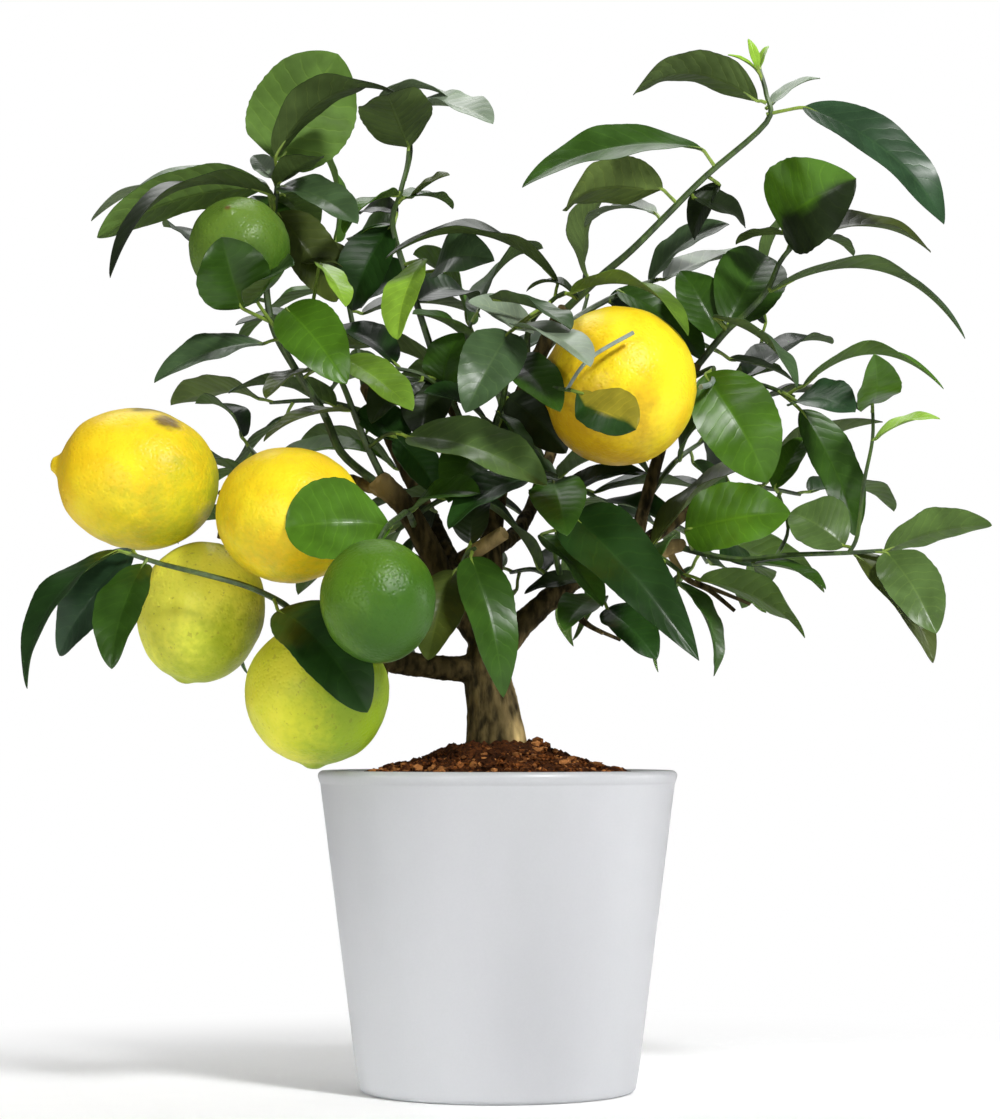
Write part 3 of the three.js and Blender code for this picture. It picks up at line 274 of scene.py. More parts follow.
SHOOTS = {
    "shoot_right_leader": ShootPlan(
        stems=(
            Limb(((26, 344, 9), (46, 363, 4), (60, 375, 0), (76, 391, -4), (94, 409, -8),
                  (121, 433, -12), (121, 446, -12), (118, 457, -12)), 2.3, 1.3),
        ),
        leaves=(
            (117, 443, -13, 61, 446, -30, 28, 112, 13, DARK),
            (123, 441, -10, 145, 454, 4, 10, 62, 2, PALE),
            (138, 440, -14, 202, 389, -28, 30, 42, 8, BLUE),
            (92, 421, -9, 11, 405, -28, 27, 55, 9, MID),
            (74, 403, -6, 30, 398, -44, 30, 122, 7, OLIVE, Touch(1.1, 0.1, 0, -2)),
            (71, 392, 4, 39, 387, 32, 18, 72, 5, PALE),
            (88, 399, -2, 112, 386, 18, 17, 40, 4, DARK),
            (117, 458, -12, 113, 471, -12, 4.5, 20, 1, LIME),
            (117, 457, -13, 104, 464, -18, 4, 60, 1, LIME),
            (118, 458, -11, 122, 468, -4, 4, 40, 1, LIME),
        ),
        inner=((100, 405, 2, 88, 380, 16, 17, 50, 3, DARK),),
    ),
    "shoot_right_second": ShootPlan(
        stems=(
            Limb(((88, 321, 13), (102, 338, 9), (111, 346, 6), (121, 357, 4), (127, 370, 2),
                  (135, 380, 0)), 2.1, 1.3),
        ),
        leaves=(
            (128, 384, -3, 163, 405, -36, 40, 6, 9, BRIGHT, Touch(1.12, 0.1, -2, 2.5, DARK)),
            (137, 381, 0, 195, 376, 14, 28, 66, 8, OLIVE),
            (133, 382, 4, 107, 379, 26, 14, 84, 2, DARK),
            (138, 382, 2, 160, 373, 30, 14, 82, 3, GREY_SHEEN),
            (123, 357, 2, 210, 336, -12, 27, 80, 20, GREY_SHEEN),
            (97, 345, 0, 135, 314, -22, 22, 72, 6, GREY_SHEEN),
            (104, 326, 20, 134, 316, 34, 11, 75, 2, DARK),
            (103, 341, 14, 121, 374, 50, 34, 8, 6, MID),
        ),
        inner=((99, 335, 16, 82, 366, 26, 24, 20, 4, MID),),
    ),
    "shoot_right_inner": ShootPlan(
        stems=(Limb(((20, 331, 15), (36, 345, 30), (58, 357, 34), (72, 362, 36)), 2, 1.3),),
        leaves=(
            (68, 360, 36, 104, 387, 22, 24, 64, 5, GREY_SHEEN),
            (75, 362, 36, 126, 370, 52, 25, 66, 6, PALE),
            (54, 357, 32, 93, 326, 30, 24, 40, 5, MID),
            (50, 352, 33, 60, 330, 78, 28, 70, 6, DEEP),
        ),
    ),
    "shoot_over_fruit": ShootPlan(
        stems=(Limb(((14, 318, 18), (14, 340, 2), (24, 352, -14), (30, 356, -20)), 1.9, 1.2),),
        leaves=(
            (33, 356, -21, 86, 338, -52, 26, 82, 12, SUNLIT),
            (27, 361, -12, -50, 374, -30, 30, 80, 15, DARK),
            (8, 341, -40, 42, 325, -88, 24, 58, 3, PALE),
            (-2, 353, -34, 33, 340, -68, 26, 68, 3, GREY_SHEEN),
            (5, 338, -48, -14, 303, -76, 28, 6, 5, GREY_SHEEN),
        ),
        inner=(
            (16, 339, -2, -13, 352, -26, 17, 40, 3, PALE),
            (36, 353, -18, 13, 357, -8, 10, 76, 6, DARK),
        ),
    ),
    "shoot_right_middle": ShootPlan(
        stems=(Limb(((82, 308, 16), (96, 316, 24), (116, 315, 20), (133, 309, 8)), 1.8, 1.1),),
        leaves=(
            (137, 314, 4, 200, 313, -10, 24, 82, 15, BRIGHT),
            (134, 307, 3, 160, 303, -32, 26, 40, 4, BLUE),
            (136, 303, 8, 161, 247, 16, 25, 32, 5, MID),
            (112, 318, 26, 150, 335, 52, 26, 60, 6, DEEP),
        ),
    ),
    "shoot_beside_fruit": ShootPlan(
        stems=(Limb(((88, 318, 13), (96, 322, 2), (97, 321, -14)), 1.6, 1.2),),
        leaves=((93, 319, -18, 121, 271, -52, 38, 8, 5, BRIGHT),),
        stalks=(Limb(((96, 321, -8), (96, 315, -26), (88, 313, -40)), 1.5, 1.5),),
    ),
    "shoot_low_right": ShootPlan(
        stems=(
            Limb(((80, 242, 9), (95, 238, 4), (110, 236, 0), (130, 238, -4), (157, 239, -8),
                  (172, 240, -10)), 2.1, 1.2),
            Limb(((125, 238, -3), (130, 250, 6), (125, 268, 10)), 1.2, 0.9),
            Limb(((157, 239, -8), (161, 247, -8), (164, 270, -6), (168, 290, -4),
                  (168, 306, -2)), 1.4, 1),
        ),
        leaves=(
            (84, 249, -12, 131, 257, -34, 34, 14, 5, BRIGHT),
            (155, 242, -5, 131, 257, 34, 28, 22, 4, MOSS, Touch(1.1)),
            (173, 240, -10, 221, 252, -4, 24, 132, 4, MID),
            (174, 239, -10, 196, 203, -34, 27, 16, 4, MOSS),
            (160, 238, -8, 195, 190, 6, 22, 48, 6, OLIVE),
            (114, 234, 0, 147, 224, -20, 15, 70, 3, MID),
            (124, 268, 9, 138, 291, 24, 14, 30, 2, BRIGHT),
            (168, 306, -3, 169, 328, -42, 22, 8, 4, BRIGHT),
            (169, 290, -4, 198, 300, -12, 13, 74, 3, LIME),
            (100, 237, 3, 118, 226, 44, 26, 70, 5, DEEP),
        ),
    ),
    "shoot_low_centre": ShootPlan(
        stems=(Limb(((30, 223, 6), (26, 238, -10), (27, 254, -24), (22, 270, -34)), 2, 1.2),),
        leaves=(
            (33, 256, -32, 90, 191, -66, 34, 22, 7, DEEP, Touch(1.02, -0.45)),
            (19, 247, -24, 47, 215, -44, 21, 48, 3, MID),
            (25, 271, -36, 31, 248, -72, 26, 4, 3, MID),
            (20, 272, -34, -22, 250, -64, 26, 62, 6, DEEP),
        ),
        inner=((30, 266, -20, 67, 275, -12, 16, 58, 4, DARK),),
    ),
    "shoot_low_inner": ShootPlan(
        stems=(Limb(((40, 230, 7), (46, 222, -6), (48, 216, -10)), 1.6, 1.2),),
        leaves=(
            (49, 214, -11, 71, 192, -34, 22, 24, 3, DEEP),
            (45, 219, -10, 30, 205, -44, 20, 40, 3, MID),
        ),
        inner=((42, 226, -2, 12, 221, -4, 14, 60, 3, DARK),),
    ),
    "shoot_trunk_front": ShootPlan(
        stems=(
            Limb(((-18, 217, -3), (-17, 228, -18), (-14, 238, -30), (-10, 241, -36)), 1.8, 1.2),
        ),
        leaves=(
            (-12, 237, -37, 3, 175, -52, 27, 14, 8, MID, Touch(0.93, -0.2)),
            (-19, 231, -28, -31, 191, -46, 25, 18, 5, OLIVE),
        ),
        inner=((-12, 243, -28, -7, 266, -18, 19, 26, 3, DARK),),
    ),
    "shoot_centre": ShootPlan(
        stems=(
            Limb(((-1, 268, 15), (-3, 288, -4), (2, 306, -18), (6, 318, -34), (20, 314, -66),
                  (33, 312, -84)), 2, 1.1),
        ),
        leaves=(
            (36, 311, -86, 63, 301, -104, 22, 30, 3, GOLD, Touch(1.15, 0.4, -1, -6, DEEP)),
            (4, 326, -40, 28, 303, -86, 22, 30, 3, MID),
            (0, 302, -16, 14, 279, -40, 16, 62, 2, MID),
            (-4, 296, -10, -32, 312, -38, 22, 60, 4, DEEP),
            (-3, 290, -4, -22, 262, -32, 26, 30, 5, MID),
        ),
        stalks=(Limb(((31, 312, -82), (41, 326, -82), (61, 338, -78)), 1, 1.2),),
        inner=(
            (4, 309, -8, 31, 284, -10, 24, 20, 4, DARK),
            (2, 300, -2, 2, 276, 6, 20, 20, 3, DARK),
        ),
    ),
    "shoot_left_inner": ShootPlan(
        stems=(
            Limb(((-49, 268, -13), (-58, 286, -20), (-64, 301, -24), (-70, 316, -22),
                  (-80, 336, -14), (-86, 350, -8)), 2.1, 1.2),
            Limb(((-58, 286, -20), (-50, 292, -28), (-43, 293, -32)), 1.3, 1),
        ),
        leaves=(
            (-40, 291, -33, 22, 270, -66, 33, 46, 6, MOSS),
            (-69, 326, -22, -38, 303, -48, 22, 38, 3, SUNLIT),
            (-95, 349, -20, -68, 316, -46, 29, 12, 5, BRIGHT),
            (-80, 369, -6, -68, 350, -34, 16, 50, 2, LIME),
            (-66, 303, -24, -105, 290, -40, 16, 72, 4, OLIVE),
            (-64, 300, -22, -38, 288, -8, 22, 40, 4, DEEP),
        ),
        inner=((-46, 291, -22, -27, 266, -20, 19, 30, 3, DEEP),),
    ),
    "shoot_left_tall": ShootPlan(
        stems=(
            Limb(((-55, 271, -14), (-70, 284, -8), (-78, 302, -4), (-91, 322, 0), (-101, 341, 6),
                  (-104, 365, 11), (-101, 388, 9), (-99, 405, 4), (-99, 414, 2)), 2.5, 1.4),
            Limb(((-77, 300, -5), (-88, 318, -14), (-96, 332, -20), (-102, 345, -24)), 1.6, 1.1),
            Limb(((-103, 352, 9), (-116, 356, 14), (-128, 366, 14)), 1.4, 1),
        ),
        leaves=(
            (-98, 415, 2, -66, 467, 12, 47, 170, 5, BRIGHT, Touch(1.08, 0.22, -6, -3)),
            (-100, 418, -3, -45, 447, -36, 30, 108, 14, DARK),
            (-99, 405, -1, -79, 418, -28, 17, 104, 2, DARK),
            (-101, 408, 6, -110, 418, 12, 12, 20, 1, PALE),
            (-97, 404, 2, -63, 388, -30, 25, 40, 4, GREY_SHEEN),
            (-97, 401, 9, -82, 383, 34, 22, 150, 3, MID),
            (-105, 404, 3, -180, 381, -8, 30, 122, 7, MID),
            (-101, 400, -3, -175, 365, -52, 27, 72, 20, DARK),
            (-104, 405, 10, -183, 390, 42, 24, 80, 10, PALE),
            (-94, 368, 14, -110, 400, 44, 24, 24, 4, MID),
            (-105, 333, -22, -154, 316, -46, 22, 52, 5, GREY_SHEEN),
            (-82, 321, -14, -104, 309, -46, 18, 56, 3, OLIVE),
            (-115, 349, -40, -124, 381, -56, 31, 4, 3, MID, Touch(1.1, 0.1)),
            (-108, 352, -26, -92, 369, -46, 22, 62, 3, DEEP),
            (-126, 366, 17, -150, 386, 48, 26, 66, 5, DEEP),
        ),
        stalks=(Limb(((-103, 358, 10), (-108, 360, 4), (-113, 364, -8)), 1.3, 1.4),),
        inner=(
            (-99, 392, 12, -72, 352, 20, 27, 24, 4, OLIVE),
            (-97, 372, 14, -60, 366, 26, 22, 46, 4, OLIVE),
        ),
    ),
    "shoot_upper_centre": ShootPlan(
        stems=(
            Limb(((-26, 319, 9), (-36, 350, 7), (-47, 385, 4), (-44, 400, 2), (-41, 412, 0),
                  (-40, 420, 0)), 2.1, 1.1),
            Limb(((-42, 407, 1), (-39, 420, 7), (-41, 434, 11)), 1.4, 1.1),
        ),
        leaves=(
            (-40, 422, 0, -50, 447, -40, 34, 168, 2, DARK),
            (-53, 445, 17, -19, 443, 4, 13, 84, 5, PALE),
            (-38, 440, 6, -2, 433, -16, 24, 58, 4, PALE, Touch(1.25)),
            (-39, 399, 4, -22, 410, -8, 13, 78, 1, OLIVE),
            (-45, 400, 0, -69, 383, -26, 18, 68, 5, BRIGHT),
            (-42, 399, 0, -20, 395, 22, 16, 80, 3, MID),
            (-47, 387, 6, -65, 379, 34, 20, 62, 3, BRIGHT),
            (-33, 371, -8, -45, 335, -34, 20, 40, 4, LIME, Touch(1.05, 0.15)),
            (-28, 366, 10, -2, 371, -16, 26, 38, 6, GREY_SHEEN),
            (-36, 352, 10, -10, 352, 44, 28, 60, 6, DEEP),
            (-40, 362, 10, -62, 350, 46, 28, 50, 5, DEEP),
        ),
        inner=(
            (-48, 386, 8, -66, 348, 18, 27, 22, 4, DEEP),
            (-45, 392, 7, -62, 392, 20, 14, 50, 3, DARK),
        ),
    ),
    "shoot_centre_dark": ShootPlan(
        stems=(Limb(((-14, 290, 12), (-20, 306, -2), (-32, 318, -12), (-46, 322, -14)), 1.6, 1.1),),
        leaves=(
            (-34, 316, -14, -57, 298, -8, 24, 44, 4, DARK),
            (-46, 324, -12, -78, 340, 10, 26, 56, 5, DEEP),
            (-24, 312, -6, -16, 338, -20, 24, 40, 4, MID),
        ),
        inner=((-28, 317, -8, -34, 290, -14, 24, 15, 3, DARK),),
    ),
    "shoot_left_front": ShootPlan(
        stems=(
            Limb(((-37, 250, -10), (-40, 257, -34), (-44, 255, -62), (-50, 250, -84),
                  (-55, 240, -104)), 1.9, 1.3),
        ),
        leaves=(
            (-48, 250, -72, -95, 249, -104, 34, 12, 5, BRIGHT, Touch(1.15, 0.4, 0, 1)),
            (-38, 258, -30, -8, 266, -58, 24, 62, 4, MID),
        ),
    ),
    "shoot_low_left": ShootPlan(
        stems=(
            Limb(((-90, 211, -43), (-97, 217, -52), (-112, 224, -58), (-130, 229, -56),
                  (-150, 234, -50), (-166, 239, -46)), 1.8, 1.2),
        ),
        leaves=(
            (-170, 240, -46, -213, 179, -58, 24, 62, 12, DEEP, Touch(1.12, 0, 2)),
            (-163, 240, -42, -196, 193, -20, 24, 28, 6, BLUE),
            (-158, 234, -50, -173, 188, -74, 26, 26, 5, MID),
            (-98, 213, -68, -58, 168, -112, 26, 24, 12, DEEP, Touch(1.3, 0.1)),
        ),
    ),
}
BACK_STEMS = {
    "shoot_back_crown": ((29, 84, 305), (44, 128, 372)),
    "shoot_back_right_low": ((21, 65, 277), (56, 126, 266)),
    "shoot_back_left_crown": ((-63, 79, 321), (-78, 116, 390)),
    "shoot_back_left": ((-56, 71, 307), (-110, 118, 318)),
    "shoot_back_centre_low": ((-46, 60, 287), (-38, 138, 262)),
    "shoot_side_right_high": ((104, 60, 277), (126, 84, 346)),
    "shoot_side_right": ((94, 51, 268), (144, 96, 272)),
    "shoot_side_left": ((-101, 48, 265), (-120, 100, 296)),
    "shoot_side_left_low": ((-88, 42, 259), (-120, 100, 240)),
    "shoot_crown": ((8, 20, 302), (-12, 66, 346)),
    "shoot_back_right": ((80, 38, 254), (100, 104, 240)),
    "shoot_inner_left": ((-8, 12.5, 269), (-46, 26, 250)),
    "shoot_inner_right": ((3, 17, 278), (44, 24, 266)),
    "shoot_inner_low": ((29, 6, 225), (6, 38, 232)),
    "shoot_inner_low_right": ((58, 9, 240), (84, -6, 228)),
    "shoot_inner_far_right": ((66, 14, 262), (94, 32, 292)),
    "shoot_inner_top": ((-22, 10, 309), (-12, 30, 346)),
}
FRUITS = {
    "lemon_far_left": FruitPlan(
        (-160, 272, -20), 31.6, 35, (-0.97, 0, 0.17), Ripeness.RIPE, (0.75, -0.2, -0.65), 0.30,
        nipple=0.8, full=0.6, brown_patch=(-143, -37, 297.5, 9),
    ),
    "lemon_left": FruitPlan(
        (-93, 256, -52), 30, 34, (0.75, -0.62, -0.1), Ripeness.RIPE, (-0.4, -0.1, -0.9), 0.16,
    ),
    # Its green side paints shade on its lower part, and its peel is brightened as painted light.
    "lemon_lower_left": FruitPlan(
        (-132, 214, -12), 28.5, 30, (-0.25, 0, -0.96), Ripeness.MELLOW, (0.45, -0.1, -0.85), 0.40,
        nipple=0.3, full=0.8,
    ),
    # Its green side paints shade on its right side.
    "lemon_lowest": FruitPlan(
        (-80.5, 177, -62), 31, 29.5, (-0.05, 0, -1), Ripeness.TURNING, (0.7, -0.1, -0.2), 0.60,
        nipple=0.45, full=0.6,
    ),
    # Its green side paints darker shade on its right and lower part.
    "lemon_unripe_centre": FruitPlan(
        (-53.5, 218, -107), 24.2, 25.5, (0.1, -0.1, -0.98), Ripeness.GREEN, (0.75, -0.2, -0.6), 0.6,
        nipple=0.0, full=0.25,
    ),
    # Its green side paints a golden-brown shade on its lower left.
    "lemon_right": FruitPlan(
        (54.5, 314, -40), 35.3, 34, (-0.99, 0, 0.07), Ripeness.GOLDEN, (-0.8, -0.25, -0.6), 0.42,
    ),
    "lemon_unripe_upper": FruitPlan(
        (-116, 376, -24), 22.5, 22, (-0.15, -0.72, 0.6), Ripeness.PALE_GREEN, (0.5, 0.2, -0.8),
        0.55, nipple=0.5, full=0.3,
    ),
}
NIPPLE_START = 0.9                 # shares of a fruit's half length and radius
NIPPLE_REACH = 1.16
NIPPLE_RADIUS = 0.17

GOLDEN_ANGLE = math.pi * (3 - math.sqrt(5))
BACK_LEAVES = 4
BACK_TURNS = (0, 0.9, -0.9, 1.8, -1.8, 2.7)       # turns round the stem tried for a leaf
BACK_SEED = 4711
BACK_TONES = (DEEP, MID, DEEP, OLIVE, MID, DARK, BRIGHT)


@dataclass(frozen=True)
class BackLeaf:
    """Sizes that the leaves of every back shoot share."""

    length: float = 58
    spread: float = 16
    width: float = 0.46
    petiole: float = 7
    lean: float = 0.75
    last_lean: float = 0.15
    droop: float = 0.3
    arch: float = 6
    roll: float = 70
    roll_spread: float = 40


# ---- points and lines


def seen(x: float, z: float, depth: float) -> Vector:
    """Places a point read on the plane y = 0 at a depth on its line of sight.

    Args:
        x: Reading across, in millimetres.
        z: Reading upwards, in millimetres.
        depth: The point's real y.

    Returns:
        The point in space, in millimetres.
    """
    reach = (depth - EYE.y) / -EYE.y
    return Vector((EYE.x + (x - EYE.x) * reach, depth, EYE.z + (z - EYE.z) * reach))


def pushed(point: Vector, depth: float) -> Vector:
    """Moves a point along its line of sight.

    Args:
        point: The point in space.
        depth: How far its y changes.

    Returns:
        The moved point.
    """
    reach = (point.y + depth - EYE.y) / (point.y - EYE.y)
    return (point - EYE) * reach + EYE


def smooth_line(points: list[Vector], values: list[float], steps: int) -> Line:
    """Runs a smooth line through points, with a value carried along.

    Args:
        points: The points to pass through.
        values: One number for each point.
        steps: Stretches between each two points.

    Returns:
        The finer points and their values.
    """
    line, carried = [], []
    last = len(points) - 1
    for index in range(last):
        before, start = points[max(index - 1, 0)], points[index]
        end, after = points[index + 1], points[min(index + 2, last)]
        for step in range(steps):
            t = step / steps
            line.append(0.5 * (
                2 * start + (end - before) * t
                + (2 * before - 5 * start + 4 * end - after) * t ** 2
                + (3 * start - before - 3 * end + after) * t ** 3
            ))
            carried.append(values[index] + (values[index + 1] - values[index]) * t)
    return line + [points[last]], carried + [values[last]]


def split_row(row: tuple) -> tuple:
    """Reads a leaf's row of a table.

    Args:
        row: Its numbers and tone, and perhaps a touch.

    Returns:
        Its base and tip in space, then its width, roll, arch, tone and touch.
    """
    bx, bz, by, tx, tz, ty, width, roll, arch, tone, *touch = row
    touch = touch[0] if touch else Touch()
    return seen(bx, bz, by), seen(tx, tz, ty), width, roll, arch, tone, touch


def limb_line(limb: Limb) -> Line:
    """Gives a limb's points in space and a radius for each.

    Args:
        limb: The limb as it is seen from the front.

    Returns:
        Points and radii in millimetres.
    """
    points = [seen(*point) for point in limb.points]
    last = len(points) - 1
    even = [limb.start + (limb.end - limb.start) * index / last for index in range(last + 1)]
    return points, list(limb.radii) or even


def leaf_sites(line: list[Vector]) -> list[Vector]:
    """Finds the places along a stem's middle line where a leaf stalk can root.

    Args:
        line: The stem's points.

    Returns:
        The places, one leaf to each.
    """
    sites: list[Vector] = []
    travelled = 0.0
    for index in range(len(line) - 1):
        stretch = (line[index + 1] - line[index]).length
        end = stretch - SITE_INSET if index + 2 == len(line) else stretch
        reach = SITE_SPACING * (len(sites) + 1) - travelled
        while reach < end:
            sites.append(line[index].lerp(line[index + 1], reach / stretch))
            reach += SITE_SPACING
        travelled += stretch
    return sites


# ---- mesh helpers


def select_only(piece: Piece) -> None:
    """Makes a piece the only selected one, and the active one."""
    bpy.ops.object.select_all(action="DESELECT")
    piece.select_set(True)
    bpy.context.view_layer.objects.active = piece


def new_piece(name: str, data: bpy.types.ID) -> Piece:
    """Links a mesh, curve, light or camera into the scene as a new object.

    Args:
        name: Name of the object.
        data: What it holds.

    Returns:
        The object.
    """
    piece = bpy.data.objects.new(name, data)
    bpy.context.scene.collection.objects.link(piece)
    return piece


def spin_profile(name: str, profile: list[Spot], steps: int) -> Piece:
    """Spins an outline of (radius, height) points round the Z axis into a closed solid.

    Args:
        name: Name of the object.
        profile: The outline in millimetres, from the axis round to the axis again.
        steps: Number of steps in the whole turn.

    Returns:
        The solid, with its faces pointing out.
    """
    mesh = bpy.data.meshes.new(name)
    edges = [(index, index + 1) for index in range(len(profile) - 1)]
    mesh.from_pydata([(radius * MM, 0, height * MM) for radius, height in profile], edges, [])
    piece = new_piece(name, mesh)
    select_only(piece)
    bpy.ops.object.mode_set(mode="EDIT")
    bpy.ops.mesh.select_all(action="SELECT")
    bpy.ops.mesh.spin(steps=steps, angle=2 * math.pi, center=(0, 0, 0), axis=(0, 0, 1))
    bpy.ops.mesh.select_all(action="SELECT")
    bpy.ops.mesh.remove_doubles(threshold=WELD * MM)
    bpy.ops.mesh.normals_make_consistent(inside=False)
    bpy.ops.object.mode_set(mode="OBJECT")
    return piece


def vertex_array(mesh: bpy.types.Mesh) -> np.ndarray:
    """Returns a mesh's vertex places, one row each, in metres."""
    places = np.empty(len(mesh.vertices) * 3)
    mesh.vertices.foreach_get("co", places)
    return places.reshape(-1, 3)


def set_vertices(mesh: bpy.types.Mesh, places: np.ndarray) -> None:
    """Moves a mesh's vertices to new places, one row each, in metres."""
    mesh.vertices.foreach_set("co", places.astype(np.float32).ravel())
    mesh.update()


def mark(piece: Piece, name: str, values: np.ndarray | list[float]) -> None:
    """Keeps a number for each vertex of a piece, which its finish reads by name."""
    piece.data.attributes.new(name, "FLOAT", "POINT").data.foreach_set("value", values)


def fractal(places: np.ndarray, scale: float, seed: float, octaves: int = 3) -> np.ndarray:
    """Samples a smooth random field at many places.

    Args:
        places: Rows of x, y and z in metres.
        scale: Bumps for each metre.
        seed: Shifts the field.
        octaves: Layers of finer detail.

    Returns:
        One value from about -1 to 1 for each place.
    """
    shift = Vector((seed, seed * 0.37, seed * 0.71))
    return np.array([
        noise.fractal(Vector(place) * scale + shift, 0.8, 2.1, octaves) for place in places
    ])


def keep_inside(piece: Piece) -> None:
    """Holds a piece within the whole object's box."""
    low, high = (np.array(corner) for corner in CAD_BOX)
    margin = BOX_MARGIN * MM
    set_vertices(piece.data, np.clip(vertex_array(piece.data), low + margin, high - margin))


def smooth_shading(piece: Piece, angle: float) -> None:
    """Shades a piece smooth, with edges sharper than an angle in degrees left crisp."""
    select_only(piece)
    bpy.ops.object.shade_smooth_by_angle(angle=math.radians(angle))


def join_pieces(pieces: list[Piece], name: str) -> Piece:
    """Joins pieces into the first of them and names it.

    Args:
        pieces: The pieces; the first keeps its material slots and attributes.
        name: Name of the joined piece.

    Returns:
        The joined piece.
    """
    select_only(pieces[0])
    for piece in pieces[1:]:
        piece.select_set(True)
    bpy.ops.object.join()
    pieces[0].name = name
    pieces[0].data.name = name
    return pieces[0]


def round_limbs(
    name: str, lines: list[Line], sides: int, materials: list[bpy.types.Material], slots: list[int],
) -> Piece:
    """Makes capped round limbs along lines, as one mesh.

    Args:
        name: Name of the object.
        lines: Points and radii of each limb, in millimetres.
        sides: Quarter steps round a limb: 1 gives six sides, 2 gives eight.
        materials: Every material of the mesh.
        slots: Index of each limb's material.

    Returns:
        The limbs as a mesh object.
    """
    curve = bpy.data.curves.new(name, "CURVE")
    curve.dimensions = "3D"
    curve.bevel_depth = MM
    curve.bevel_resolution = sides
    curve.use_fill_caps = True
    for material in materials:
        curve.materials.append(material)
    for (points, radii), slot in zip(lines, slots):
        spline = curve.splines.new("POLY")
        spline.points.add(len(points) - 1)
        spline.material_index = slot
        for spot, point, radius in zip(spline.points, points, radii):
            spot.co = (*(point * MM), 1)
            spot.radius = radius
    select_only(new_piece(name, curve))
    bpy.ops.object.convert(target="MESH")
    return bpy.context.view_layer.objects.active


def hand_over(piece: Piece, node: str) -> None:
    """Sets a finished piece on the root body in place of a node.

    Args:
        piece: The finished piece.
        node: Name of the node that it replaces.
    """
    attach(piece, "root")
    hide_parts(node)
    LOG.info("%s: %d vertices", piece.name, len(piece.data.vertices))


# ---- shader graphs


class Graph:
    """Adds shader nodes to a tree and joins them up."""

    def __init__(self, tree: bpy.types.NodeTree) -> None:
        """Keeps the tree's nodes and links."""
        self.nodes = tree.nodes
        self.links = tree.links

    def feed(self, sockets: bpy.types.NodeInputs, inputs: dict) -> None:
        """Gives a node's sockets their constants, or joins them to other nodes' outputs.

        Args:
            sockets: The node's input sockets.
            inputs: Values or outputs for them, by name or index.
        """
        for key, value in inputs.items():
            if isinstance(value, Socket):
                self.links.new(value, sockets[key])
            else:
                sockets[key].default_value = value

    def add(self, kind: str, inputs: dict | None = None, **settings: object) -> bpy.types.Node:
        """Adds a node.

        Args:
            kind: The node's type.
            inputs: Values or outputs for its sockets, by name or index.
            settings: The node's own settings.

        Returns:
            The node.
        """
        node = self.nodes.new(kind)
        for name, value in settings.items():
            setattr(node, name, value)
        self.feed(node.inputs, inputs or {})
        return node

    def maths(self, operation: str, *values: object, clamp: bool = False) -> Socket:
        """Adds a maths node and returns its output, held between 0 and 1 on request."""
        settings = {"operation": operation, "use_clamp": clamp}
        return self.add("ShaderNodeMath", dict(enumerate(values)), **settings).outputs[0]

    def mix(self, share: object, first: object, second: object, blend: str = "MIX") -> Socket:
        """Mixes two colours by a share and returns the colour."""
        inputs = {MIX_SHARE: share, MIX_FIRST: first, MIX_SECOND: second}
        node = self.add("ShaderNodeMix", inputs, data_type="RGBA", blend_type=blend)
        return node.outputs[MIX_RESULT]

    def spread(
        self, value: Socket, low: float, high: float, to_low: object, to_high: object,
    ) -> Socket:
        """Maps a value from one span to another, held at the ends, and returns it."""
        spans = dict(enumerate((value, low, high, to_low, to_high)))
        return self.add("ShaderNodeMapRange", spans, interpolation_type="SMOOTHSTEP").outputs[0]

    def noise(self, place: Socket, scale: object, detail: float = 2.0) -> Socket:
        """Samples cloudy noise at a place and returns its value."""
        inputs = {"Vector": place, "Scale": scale, "Detail": detail}
        return self.add("ShaderNodeTexNoise", inputs).outputs[0]

    def place(self) -> Socket:
        """Returns the place on the object, in its own coordinates."""
        return self.add("ShaderNodeTexCoord").outputs["Object"]

    def attribute(self, name: str, output: str = "Fac") -> Socket:
        """Reads one of the mesh's own attributes."""
        return self.add("ShaderNodeAttribute", attribute_name=name).outputs[output]

    def grey(self, value: Socket) -> Socket:
        """Turns a value into a grey colour."""
        return self.add("ShaderNodeCombineColor", {0: value, 1: value, 2: value}).outputs[0]

    def bump(self, height: Socket, strength: float, distance: float) -> Socket:
        """Turns a height into a bent normal and returns it."""
        inputs = {"Strength": strength, "Distance": distance, "Height": height}
        return self.add("ShaderNodeBump", inputs).outputs[0]


def rgb(colour: Colour, gain: float = 1.0) -> tuple[float, float, float, float]:
    """Returns a colour with an alpha of 1, its brightness multiplied by a gain."""
    return (colour[0] * gain, colour[1] * gain, colour[2] * gain, 1.0)


